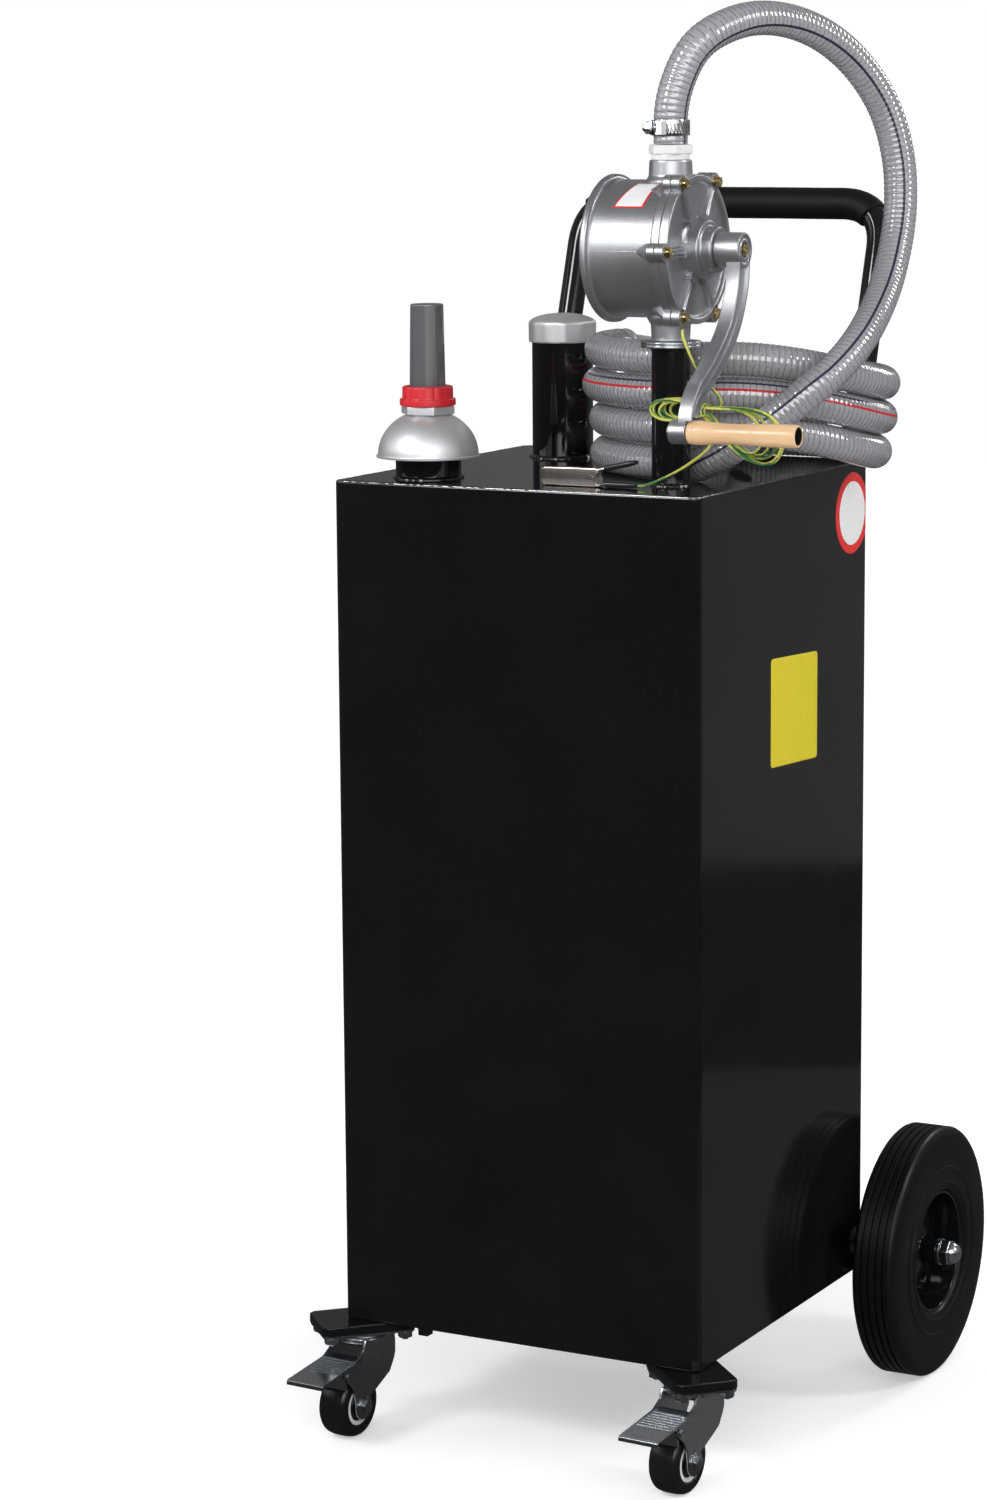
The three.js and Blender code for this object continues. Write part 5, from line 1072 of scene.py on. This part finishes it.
def arm_section(i):
    """The I section at a step of the route: round flanges and a hollow between them on both faces."""
    half = ARM_HALF + (ARM_END_HALF - ARM_HALF) * i / (len(arm_route) - 1)
    edge = half - ARM_FLANGE
    side = [(half, ARM_SOFT), (half - ARM_SOFT, 0), (edge + 0.5, 0), (edge - 0.6, ARM_POCKET)]
    low = [(-across, ARM_LOW + z) for across, z in side] + [(0, ARM_LOW + ARM_POCKET)]
    low += [(across, ARM_LOW + z) for across, z in reversed(side)]
    high = [(across, ARM_LOW + ARM_HIGH - z) for across, z in reversed(low)]
    x, y, _ = arm_route[i]
    along = arm_along[i]
    return [(x - along[1] * across, y + along[0] * across, z) for across, z in low + high]


hub_rows = [(7.3, 49.9), (15.4, 49.9), (16, 50.5), (16, 73.9), (15, 74.9), (12.6, 74.9), (12, 74.3),
            (10.4, 74.3), (9.8, 74.9), (7.4, 74.9), (6.6, 74.2), (6.6, 71.4), (0, 71.4)]
boss_rows = [(4.2, 51.9), (10.4, 51.9), (11, 52.6), (11, 68.2), (10.4, 68.9), (4.2, 68.9)]
arm = carved(
    loft([arm_section(i) for i in range(len(arm_route))]), drum(0, 9.6, 58, 80, 0, 64),
    moved(drum(0, 13.5, 69.2, 80, 0, 64), *GRIP_SPOT), moved(drum(0, 4.5, 40, 80, 0, 32), *GRIP_SPOT),
)
lever = together(arm, turned(hub_rows, 0.4, 96, 2), moved(turned(boss_rows, 0.4, 72, 2), *GRIP_SPOT))
piece("crank_lever", lever, pump_place, "cast", "crank_arm", "crank")

screw = together(
    hexagon(10.5, 71.6, 76.0, 0.7, 0.35),
    turned([(0, 75.2), (3.6, 75.2), (3.6, 76.4), (1.6, 76.4), (1.2, 75.8), (0, 75.8)], 0.15, 24),
    drum(0, 3, 66, 71.7, 0, 24),
)
piece("crank_bolt", screw, pump_place, "brass", "crank_screw", "crank")

GRIP_LOW, GRIP_HIGH = 69.5, 175.5
GRIP_BORE, GRIP_HOLE, GRIP_HOLE_DEPTH = 4.35, 8, 16
GRIP_TURNING = [        # share of the length, and radius
    (0.04, 10.8), (0.055, 10.9), (0.06, 10.55), (0.066, 10.9), (0.1, 11.0), (0.16, 10.55), (0.22, 9.95),
    (0.29, 9.45), (0.36, 9.2), (0.43, 9.25), (0.5, 9.5), (0.57, 9.8), (0.6, 9.9), (0.612, 9.4), (0.624, 10.0),
    (0.68, 10.2), (0.74, 10.35), (0.8, 10.4), (0.87, 10.4), (0.93, 10.35), (0.97, 10.3),
]
grip_rows = [
    (GRIP_BORE, GRIP_LOW), (9.4, GRIP_LOW), (10.1, GRIP_LOW + 0.5), (10.4, GRIP_LOW + 1.4),
    *((radius, GRIP_LOW + (GRIP_HIGH - GRIP_LOW) * share) for share, radius in GRIP_TURNING),
    (10.0, GRIP_HIGH - 0.5), (9.4, GRIP_HIGH), (8.5, GRIP_HIGH), (GRIP_HOLE, GRIP_HIGH - 0.5),
    (GRIP_HOLE, GRIP_HIGH - GRIP_HOLE_DEPTH), (GRIP_BORE, GRIP_HIGH - GRIP_HOLE_DEPTH), (GRIP_BORE, GRIP_LOW),
]
# The hole in the grip's top end takes the satin black look: painted shade inside the recess
grip_wood_and_hole_shade = [0] * (len(grip_rows) - 4) + [1, 1, 0]
grip = moved(lathe(grip_rows, 96, tints=grip_wood_and_hole_shade), *GRIP_SPOT)
piece("crank_wood", grip, pump_place, ["wood", "satin_black"], "crank_grip", "grip", sharp=50)

# Outlet: white thread tape under a hexagon, and the worm-drive clamp on the hose
TAPE_RADIUS, TAPE_UNEVENNESS, TAPE_PITCH = 17.3, 0.25, 0.62


def wrinkled(angle):
    return 1 + 0.006 * math.sin(9 * angle) + 0.005 * math.sin(23 * angle + 1)


random = np.random.default_rng(11)
tape_rows = [(13, 81.1, 1)]
tape_rows += [(TAPE_RADIUS + TAPE_UNEVENNESS * random.random(), 81.15 + TAPE_PITCH * n, 1) for n in range(8)]
tape_rows += [(17.2, 86.1, 1), (12.7, 86.1, 1), (12.7, 81.1, 1)]
outlet = together(lathe(tape_rows, 120, wrinkled), hexagon(37, 86, 94.6, 1.6, 0.15, 3))
piece("outlet_taped", outlet, place(*PUMP), "tape", "outlet_fitting")

CLAMP_LOW, CLAMP_HIGH = 1139.9, 1153.9
CLAMP_MIDDLE = (CLAMP_LOW + CLAMP_HIGH) / 2
CLAMP_TURN = math.radians(23)
CLAMP_SCREW_X = -21.6
SLOT_COUNT, SLOT_LEAN = 34, 0.22
SLOTLESS = 0.55                 # no slots within this angle of the screw's housing
BAND_INNER, BAND_OUTER = 16.6, 17.6
TAIL_RADIUS = 17.9
TAIL_ANGLES = np.linspace(-0.55 * math.pi, -0.95 * math.pi, 14)


def clamp_slot(angle):
    cut = moved(box(-3, 3, -0.7, 0.7, -4, 4, 0.3), turn=SLOT_LEAN, axis="X")
    return moved(cut, 17.3 * math.cos(angle), 17.3 * math.sin(angle), CLAMP_MIDDLE, angle)


def tail_line(step, angle):
    """The band's free end across its width, which stands off the band at first."""
    reach = TAIL_RADIUS * (1 + 0.08 * max(0, 1 - step / 5))
    return [(reach * math.cos(angle), reach * math.sin(angle), z) for z in (CLAMP_HIGH - 1, CLAMP_LOW + 1)]


slot_angles = [TURN * number / SLOT_COUNT for number in range(SLOT_COUNT)]
band_rows = [(BAND_INNER, CLAMP_LOW), (BAND_OUTER, CLAMP_LOW), (BAND_OUTER, CLAMP_HIGH),
             (BAND_INNER, CLAMP_HIGH), (BAND_INNER, CLAMP_LOW)]
worm_rows = [(0, -11.2), (3.6, -11.2), (4.1, -10.7), (4.1, -7.8), (3.3, -7.4),
             *((3.5 if n % 2 else 2.7, -7 + 0.75 * n) for n in range(20)), (2.6, 8.6), (0, 9)]
clamp_parts = together(
    carved(turned(band_rows, 0.3, 96, 2),
           *(clamp_slot(angle) for angle in slot_angles if abs(angle - math.pi) >= SLOTLESS)),
    box(-23.6, -16.9, -7.4, 7.4, CLAMP_LOW + 1.4, CLAMP_HIGH - 1.4, 1.4),
    box(-18.6, -17.0, -9.5, 9.5, CLAMP_LOW + 0.6, CLAMP_HIGH - 0.6, 0.4),
    moved(moved(lathe(worm_rows, 40), turn=-QUARTER, axis="X"), CLAMP_SCREW_X, 0, CLAMP_MIDDLE),
    moved(moved(hexagon(7, 10.6, 12.2, 0.3), turn=QUARTER, axis="X"), CLAMP_SCREW_X, 0, CLAMP_MIDDLE),
    grid([tail_line(*row) for row in enumerate(TAIL_ANGLES)], closed=False),
)
clamp_place = place(*RISER) @ Matrix.Rotation(CLAMP_TURN, 4, "Z")
soften(piece("hose_band", clamp_parts, clamp_place, "chrome", "hose_clamp"), 0.00008, 1)

# Push handle: a bent tube with a foam sleeve over its top, on four bolts
HANDLE_RADIUS = 12.7
LEG_X = 166.5
FOOT_Y, BAR_Y = 207.8, 287.8
HANDLE_FOOT, HANDLE_KNEE, HANDLE_BAR = 736, 820, 1065
BEND = 46
BOLT_HEIGHTS = (801.5, 752.8)
FOAM_RADIUS, FOAM_MOUTH, FOAM_UNEVENNESS = 15.8, 1.7, 0.12
FOAM_SPACING = 1.6
FOAM_DROP = 12.5                # how far below the bar the sleeve ends


def bezier(start, by, end, steps):
    return [start * (1 - t) ** 2 + by * (2 * t * (1 - t)) + end * t * t for t in np.linspace(0, 1, steps)]


def handle_half(side):
    up = unit(np.array([0, BAR_Y - FOOT_Y, HANDLE_BAR - HANDLE_KNEE]))
    foot, knee, corner = (np.array([side * LEG_X, y, z], float) for y, z in (
        (FOOT_Y, HANDLE_FOOT), (FOOT_Y, HANDLE_KNEE), (BAR_Y, HANDLE_BAR)))
    return [
        foot, *bezier(knee - (0, 0, BEND / 2), knee, knee + up * BEND / 2, 12),
        *bezier(corner - up * BEND, corner, corner - (side * BEND, 0, 0), 24),
    ]


def foam_radius(i, angles):
    """Rounded mouths at both ends, and a skin that is a little uneven."""
    from_end = min(i, len(foam_route) - 1 - i) * FOAM_SPACING
    ease = FOAM_RADIUS - FOAM_MOUTH * max(0, 1 - from_end / 2.4) ** 2
    return ease - FOAM_UNEVENNESS + foam_noise[i] + 0.05 * np.sin(5 * angles + i * 0.11)


def handle_nut():
    return together(turned([(0, 0), (3.2, 0), (3.2, 33.6), (2.6, 34), (0, 34)], 0.2, 24),
                    hexagon(13, 25.7, 31.9, 0.7, 0.4), drum(3.2, 8, 24.9, 25.9, 0.2, 40))


handle_route = even(np.array([*handle_half(-1), *reversed(handle_half(1))]), 4.0)
mesh_piece("handle_tube", swept(handle_route, HANDLE_RADIUS, 48), "enamel", "handle_frame")
nuts = [moved(moved(handle_nut(), turn=-QUARTER, axis="X"), x, 195.1, z)
        for x in (-LEG_X, LEG_X) for z in BOLT_HEIGHTS]
piece("handle_nuts", together(*nuts), place(), "zinc")
foam_route = even(handle_route[handle_route[:, 2] > HANDLE_BAR - FOAM_DROP], FOAM_SPACING)
foam_noise = np.random.default_rng(5).random(len(foam_route)) * FOAM_UNEVENNESS
mesh_piece("foam_sleeve", swept(foam_route, foam_radius, 56), "foam", "handle_grip")

# Rear wheels on their axle
AXLE = (229, 14)
WHEEL_X = 239
TREAD_RADIUS = 127
RIM_HOLES = polygon(38, 5, QUARTER)
GROOVE = [(127.0, -1.3), (126.6, -1.0), (124.4, -0.8), (124.4, 0.8), (126.6, 1.0), (127.0, 1.3)]
side_wall = [(62, 19.5), (63.4, 21.6), (66, 23.2), (68.6, 23.7), (69.6, 24.5), (72.4, 24.5), (73.4, 23.9),
             (83, 24.1), (84, 24.8), (87, 24.8), (88, 24.1), (100, 24.3), (106, 24.1), (112, 23.7), (118, 23.2),
             (121.4, 22.2), (124.4, 20.6), (126.2, 18.9)]
tyre_rows = [
    *((radius, -height) for radius, height in side_wall), (TREAD_RADIUS, -17.2),
    *((radius, at + step) for at in (-11.4, -3.9, 3.9, 11.4) for radius, step in GROOVE),
    (TREAD_RADIUS, 17.2), *reversed(side_wall), (62, -19.5),
]
rim_rows = [(8.3, -22), (13.5, -22), (13.5, 1.2), (22, -0.6), (40, -5.5), (52, -9.6), (58.9, -12.75),
            (58.9, -19.5), (61.9, -19.5), (61.9, 19.5), (60.9, 20), (58.9, 19.5), (58.9, -9.75), (52, -6.6),
            (40, -2.5), (22, 2.4), (13.5, 4.25), (13.5, 21.4), (12.9, 22), (8.3, 22), (8.3, -22)]
for name, side in SIDES.items():
    wheel_place = place(side * WHEEL_X, *AXLE, side * QUARTER, "Y")
    body = f"wheel_{name}"
    piece(f"tyre_rear_{name}", lathe(tyre_rows, 200), wheel_place, "rubber", f"rear_tyre_{name}", body,
          sharp=24)
    holes = [moved(drum(0, 9, -60, 60, 0.1, 40), x, y) for x, y in RIM_HOLES]
    piece(f"rim_rear_{name}", carved(turned(rim_rows, 1.2, 160), *holes), wheel_place, "enamel",
          f"rear_rim_{name}", body)


def axle_end():
    """Collar, washer and a domed nut."""
    dome_rows = [(11.2 * math.cos(a), 273.6 + 10 * math.sin(a)) for a in np.linspace(0, QUARTER, 14)]
    return together(drum(8, 13.5, 214.2, 216.7, 0.4, 64), drum(8, 13.4, 261.3, 263.7, 0.5, 64),
                    hexagon(24, 263.8, 273.7, 1.5, 0.25, 3), lathe([(11.2, 273), *dome_rows], 64))


axle_rod = moved(drum(0, 8, -262, 262, 0.4, 48), turn=QUARTER, axis="Y")
axle_ends = [moved(axle_end(), turn=side * QUARTER, axis="Y") for side in SIDES.values()]
piece("axle_rear", moved(together(axle_rod, *axle_ends), 0, *AXLE), place(), "zinc", "rear_axle")

# Casters: a folded bracket and a bolted plate on the tank, and a fork with its pedal and wheel
CASTER_X, CASTER_Y = 178, -182
CASTER_TURN = math.radians(-4)  # how far the forks stand off straight ahead
CASTER_AXLE = (-27, -81)
CASTER_BOLTS = [(x, y) for x in (-37, 37) for y in (-22, 22)]
CHEEK_SHEET = 2.5
PEDAL_DROP = 8 / 72.5           # how far the pedal's tread falls for each millimetre ahead
race_rows = [(5.4, -11.5), (25, -11.5), (25, -12.4), (24, -13.2), (24.6, -14.2), (25, -15), (24.4, -15.6),
             (5.4, -15.6)]


def caster_bolt():
    return together(drum(0, 3.2, -20.1, -2.7, 0.3, 24), hexagon(13, -18.1, -12.6, 0.7, 0.5),
                    drum(3.2, 8, -12.7, -11.6, 0.2, 40))


for name, side in SIDES.items():
    fixed = place(side * CASTER_X, CASTER_Y, 0, -side * TURN / 8)
    bracket = carved(slab(94, 62, 8, [(-9, 0.6), (-8.4, 0), (-1.6, 0), (-0.6, 0.5), (-0.1, 1.4)]),
                     slab(89, 57, 5.5, [(-12, 0), (-2.6, 0)]))
    piece(f"bracket_{name}", bracket, fixed, "enamel", f"caster_bracket_{name}")
    slots = [moved(extrude(rounded_rectangle(15, 8.4, 4.15), -20, 0, 0), x * 0.97, y) for x, y in CASTER_BOLTS]
    plate = carved(slab(92, 60, 6, [(-9.15, 0.5), (-9.5, 0), (-11.2, 0), (-11.6, 0.5)]), *slots)
    piece(f"plate_{name}", together(plate, turned(race_rows, 0.35, 96, 2), at_each(CASTER_BOLTS, caster_bolt)),
          fixed, "zinc", f"caster_plate_{name}")


def arc_points(y, z, radius, start, end, steps):
    """(y, z) points along an arc, from one angle in degrees to another."""
    angles = np.linspace(math.radians(start), math.radians(end), steps)
    return [(y + radius * math.cos(a), z + radius * math.sin(a)) for a in angles]


def fork():
    """Two cheeks round the wheel's axle and the pedal's pin, under a pressed top with its king pin."""
    outline = [(23, -15.9), (27, -20), (28, -28.9), (28, -40), (26, -46), (18, -58), (-8, -70),
               *arc_points(*CASTER_AXLE, 13, 38, -190, 24), (-42, -66), (-50, -54),
               *arc_points(-55, -44, 5, 250, 95, 10), (-38, -31), (-27, -25), (-25.5, -20), (-23, -15.9)]
    cheeks = [from_side(outline, x, x + CHEEK_SHEET, 0.5) for x in (-19.8, 17.3)]
    dimple_rows = [(0, 0), (9.5, 0), (9.5, 0.4), (8, 1.1), (0, 1.1)]
    dimples = [
        moved(moved(turned(dimple_rows, 0.4, 48), turn=side * QUARTER, axis="Y"), side * 19.6, *CASTER_AXLE)
        for side in SIDES.values()
    ]
    skirt_rows = [(25.6, -16.1), (26.2, -17), (26.2, -20.6), (24.6, -21.8), (23.9, -21), (24.2, -17.5),
                  (25.6, -16.1)]
    return together(
        *cheeks, *dimples,
        from_side([(25.6, -17), (28, -19), (28.1, -42), (25.5, -42), (25.4, -19)], -18.6, 18.6, 0.5),
        turned([(0, -15.9), (23.6, -15.9), (24.6, -17.2), (24.4, -18.9), (0, -18.9)], 0.5, 96),
        from_side([(-22, -16.1), (22, -16.1), (22, -18.7), (-22, -18.7)], -18.6, 18.6, 0.8),
        turned(skirt_rows, 0.4, 96), drum(0, 8.2, -19.5, -9.5, 0.6, 40),
        extrude(polygon(6.6, 6), -24, -18.8, 0.8),
    )


def pedal_top(ahead):
    return -32 - PEDAL_DROP * (ahead - 28)


def pedal():
    """A ribbed tread with a rolled tip, two side flanges, a lug and its pin."""
    back, front, tip = pedal_top(28), pedal_top(98.5), -45.0
    tread = [(-28, back), (-98.5, front), (-100.3, front - 1.2), (-100.5, tip), (-98.5, tip),
             (-98.5, front - 2), (-28, back - 2)]
    ridges = [moved(box(-18.5, 18.5, -1.3, 1.3, -0.6, 0.8, 0.5), 0, -ahead, pedal_top(ahead))
              for ahead in range(40, 75, 5)]
    flange = [(-30, pedal_top(30) - 1), (-60, pedal_top(60) - 1), (-60, pedal_top(60) - 5), (-52, -49),
              (-30, -38)]
    lug = [(-50, -36.5), (-60, -37.5), (-60, -44), (-55, -58.5), (-53, -58.5), (-50, -44)]
    pin_rows = [(0, -22), (4, -22), (4, -21), (2.5, -20.8), (2.5, 20.8), (4, 21), (4, 22), (0, 22)]
    return together(
        from_side(tread, -21, 21), *ridges, *(from_side(flange, low, low + 1.6, 0.4) for low in (-21, 19.4)),
        from_side(lug, -16.7, 16.7, 0.8),
        moved(moved(turned(pin_rows, 0.3, 32), turn=QUARTER, axis="Y"), 0, -55, -44),
    )


def bolt_end():
    return together(drum(0, 8, 19.9, 21, 0.3, 40), hexagon(13, 20.9, 24.9, 0.9, 0.2))


roller_half = [(19.5, 14), (21, 15), (24, 15.5), (28.4, 14.6), (30.8, 12), (31.8, 7), (32, 3)]
roller_rows = [*((radius, -height) for radius, height in roller_half), *reversed(roller_half), (19.5, -14)]
# Radius, height and look of the wheel's hub, from its middle to the tyre
hub_half = [(0, 12.2, 2), (5.8, 12.2, 2), (6.2, 13.6, 1), (11.2, 13.6, 1), (12, 13.2, 1), (12.4, 12.4, 1),
            (15.2, 12.4, 0), (15.6, 13.4, 0), (16.4, 14, 0), (18.4, 14, 0), (19.4, 13.4, 0)]
hub_below = [(radius, -height, look) for radius, height, look in hub_half]
hub_whole = [*hub_below, (19.4, 0, 0), *reversed(hub_half)]
hub_looks = [look for _, _, look in hub_whole[1:]]
for name, side in SIDES.items():
    free = place(side * CASTER_X, CASTER_Y, 0, CASTER_TURN)
    wheel_place = free @ Matrix.Translation((0, *CASTER_AXLE)) @ Matrix.Rotation(QUARTER, 4, "Y")
    swivel, body = f"swivel_{name}", f"caster_wheel_{name}"
    hub = lathe([(radius, height) for radius, height, _ in hub_whole], 96, tints=hub_looks)
    bolt = together(drum(0, 4, -19.9, 19.9, 0, 32), bolt_end(), moved(bolt_end(), turn=math.pi, axis="X"))
    piece(f"fork_{name}", fork(), free, "zinc", f"caster_fork_{name}", swivel)
    piece(f"pedal_{name}", pedal(), free, "zinc", f"brake_pedal_{name}", f"pedal_{name}")
    piece(f"roller_{name}", turned(roller_rows, 1.0, 128), wheel_place, "roller", f"caster_tyre_{name}", body)
    piece(f"roller_hub_{name}", hub, wheel_place, ["white_plastic", "roller", "zinc"], f"caster_hub_{name}",
          body)
    piece(f"wheel_bolt_{name}", bolt, wheel_place, "zinc", f"caster_axle_{name}", swivel)


# Stickers: a ringed disc and a plain yellow sheet on the tank's right side, a bordered one on the pump
STICKER_LIFT, RIM_LIFT = 0.25, 0.02
SIDE_X = TANK_WIDTH / 2
DISC_MIDDLE = (153.7, 770.9)
DISC_RADII = (0, 4, 12, 20, 27, 31, 31.3, 34, 37, 39.3, 39.6)
DISC_WHITE = 5                  # how many stretches of the disc are white
SHEET_MIDDLE = (17.75, 597)
SHEET_TILT = math.radians(3)
LABEL_COLUMNS, LABEL_ROWS = 16, 24
LABEL_BORDER = (0.07, 0.055)
LABEL_ANGLES = (18.5, 52)       # degrees round the barrel


def round_corner(y, z, lift):
    """A point on the tank's right side, which bends round the rear corner."""
    flat_end = TANK_DEPTH / 2 - TANK_CORNER
    if y <= flat_end:
        return (SIDE_X + lift, y, z)
    angle = (y - flat_end) / TANK_CORNER
    reach = TANK_CORNER + lift
    return (SIDE_X - TANK_CORNER + reach * math.cos(angle), flat_end + reach * math.sin(angle), z)


def side_disc():
    rings = [[round_corner(DISC_MIDDLE[0] + y, DISC_MIDDLE[1] + z, STICKER_LIFT if radius < 39.5 else RIM_LIFT)
              for y, z in polygon(radius, 96)] for radius in DISC_RADII]
    return cleaned(grid(rings, tint_at=lambda ring, _: 0 if ring < DISC_WHITE else 1))


def side_sheet():
    """A rounded rectangle with a turned-down rim, a little tilted."""
    return cleaned(loft([
        [(SIDE_X + lift, SHEET_MIDDLE[0] + share * y, SHEET_MIDDLE[1] + share * (z - y * math.tan(SHEET_TILT)))
         for y, z in rounded_rectangle(107.5, 104, 4, 4)]
        for share, lift in ((1, RIM_LIFT), (0.998, STICKER_LIFT), (0.97, STICKER_LIFT), (0.0, STICKER_LIFT))
    ], capped=False))


def label_point(row, column):
    """A point of the pump's label, which is bent round the barrel with its rim down."""
    along, across = row / LABEL_ROWS, column / LABEL_COLUMNS
    angle = math.radians(LABEL_ANGLES[0] + (LABEL_ANGLES[1] - LABEL_ANGLES[0]) * along)
    left, right = -35 + 12 * (1 - along), -4 + 4 * (1 - along)
    on_rim = row in (0, LABEL_ROWS) or column in (0, LABEL_COLUMNS)
    reach = 63.1 + (0 if on_rim else STICKER_LIFT)
    return (-reach * math.cos(angle), -reach * math.sin(angle), left + (right - left) * across)


def label_tint(row, column):
    shares = ((column + 0.5) / LABEL_COLUMNS, (row + 0.5) / LABEL_ROWS)
    return 0 if all(edge < share < 1 - edge for edge, share in zip(LABEL_BORDER, shares)) else 1


STICKER_LOOKS = ["sticker_white", "sticker_red"]
label_points = [[label_point(row, column) for column in range(LABEL_COLUMNS + 1)]
                for row in range(LABEL_ROWS + 1)]
label = grid(label_points, closed=False, tint_at=label_tint)
bmesh.ops.recalc_face_normals(label, faces=label.faces)
piece("sticker_round", side_disc(), place(), STICKER_LOOKS, sharp=SMOOTH)
piece("sticker_sheet", side_sheet(), place(), "sticker_yellow", sharp=SMOOTH)
piece("sticker_pump", label, pump_place, STICKER_LOOKS, sharp=SMOOTH)

# CAD nodes that stay: softened edges and their own look
for node, look in {
    "axle_bracket_left": "enamel", "axle_bracket_right": "enamel", "cap_seal": "rubber", "pump_rotor": "steel",
    "pump_vane": "steel", "crank_pin": "steel", "level_float": "red_plastic", "suction_tube": "zinc",
}.items():
    kept = bpy.data.objects[node]
    kept.data.materials.clear()
    kept.data.materials.append(looks[look])
    soft = soften(kept, 0.0006, 2)
    soft.limit_method = "ANGLE"
    soft.angle_limit = math.radians(40)

# Floor and world: both show as white, and light the caddy less than they show
FLOOR_HALF = 9000
WHITE = (1, 1, 1, 1)
BLACK = (0, 0, 0, 1)
floor_low = min(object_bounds()[0][2], cad_box[0][2])
floor_nodes = Nodes(bpy.data.materials.new("floor"))
grain = floor_nodes.noise(3, 4)
away = floor_nodes.add("ShaderNodeVectorMath", {0: floor_nodes.here()}, operation="LENGTH").outputs["Value"]
glow = floor_nodes.span(away, 0.42, 0.62, 0.5, 4.5)
floor_nodes.shade(
    Base_Color=floor_nodes.ramp(grain, [(0.3, (0.8, 0.8, 0.8)), (0.7, (0.83, 0.83, 0.83))]),
    Roughness=floor_nodes.span(grain, 0.8, 0.95), Emission_Color=WHITE,
    Emission_Strength=floor_nodes.calculate("MULTIPLY", floor_nodes.shown(), glow),
)


def staged(name, shape, at, material):
    """Links a shape as part of the studio."""
    made = linked(name, mesh_of(name, shape))
    made.data.transform(Matrix.Translation(at) @ Matrix.Scale(MM, 4))
    made.data.materials.append(material)
    return made


staged("floor", extrude([(-FLOOR_HALF, -FLOOR_HALF), (FLOOR_HALF, -FLOOR_HALF), (FLOOR_HALF, FLOOR_HALF),
                         (-FLOOR_HALF, FLOOR_HALF)], -20, 0, 0), (0, 0, floor_low), floor_nodes.owner)

world = bpy.data.worlds.new("studio")
bpy.context.scene.world = world
sky = Nodes(world, "Background")
sky.shade(Color=WHITE, Strength=sky.span(sky.shown(), 0.5, 1.0, 0, 1))

LAMPS_ROUND, LAMPS_AIM = (0, 0, 500), (0, 0, 600)


def lamp(name, azimuth, height, distance, size, power):
    """An area lamp in metres, aimed at the caddy's middle; azimuth 0 is in front, 90 at the right."""
    data = bpy.data.lights.new(name, "AREA")
    data.shape = "RECTANGLE"
    data.size, data.size_y = size
    data.energy = power
    made = linked(name, data)
    turn = math.radians(azimuth)
    away = Vector((math.sin(turn) * distance, -math.cos(turn) * distance, height))
    made.location = spot(*LAMPS_ROUND) + away
    made.rotation_euler = (spot(*LAMPS_AIM) - made.location).to_track_quat("-Z", "Y").to_euler()


lamp("key", -25, 1.75, 2.6, (0.8, 0.8), 36)
lamp("front", 30, 1.2, 2.8, (2.6, 1.4), 34)
lamp("side", 100, 1.7, 2.6, (0.5, 0.9), 26)
lamp("back", 158, 1.5, 2.6, (0.6, 0.6), 14)
lamp("fill", -60, 0.8, 2.8, (1.6, 1.6), 9)

# Studio cards, which only gloss mirrors: a dark floor and low walls, and greyer ones above
CARD_STEPS = 48


def card(name, azimuths, profile, tone):
    """A surface of one tone round the caddy, through (reach, height) rows."""
    turns = [math.radians(azimuths[0] + (azimuths[1] - azimuths[0]) * step / CARD_STEPS)
             for step in range(CARD_STEPS + 1)]
    shape = grid([[(math.sin(turn) * reach, -math.cos(turn) * reach, z) for reach, z in reversed(profile)]
                  for turn in turns], closed=False)
    nodes = Nodes(bpy.data.materials.new(name))
    cloud = nodes.ramp(nodes.noise(0.8), [(0.3, (tone * 0.9,) * 3), (0.7, (tone * 1.1,) * 3)])
    nodes.shade(Base_Color=BLACK, Specular_IOR_Level=0, Emission_Color=cloud, Emission_Strength=1)
    made = staged(name, shape, (TANK.x, TANK.y, floor_low), nodes.owner)
    for kind in ("camera", "diffuse", "transmission", "volume_scatter", "shadow"):
        setattr(made, f"visible_{kind}", False)


card("card_floor", (0, 360), [(5, 3), (3100, 3), (3100, 900)], 0.035)
card("card_floor_right", (60, 200), [(200, 5), (1500, 5)], 0.1)
card("card_front", (-75, 14), [(2700, 3), (2700, 1150)], 0.03)
card("card_right", (100, 178), [(2900, 3), (2900, 1300)], 0.16)
card("card_back", (180, 240), [(3000, 900), (3000, 2600)], 0.14)
card("card_left", (240, 285), [(2900, 3), (2900, 1300)], 0.06)
card("card_left_high", (240, 325), [(3300, 1300), (3300, 2900)], 0.2)
card("card_right_high", (75, 180), [(3300, 1300), (3300, 2900)], 0.2)
card("card_ceiling", (0, 360), [(5, 2950), (3400, 2950)], 0.2)
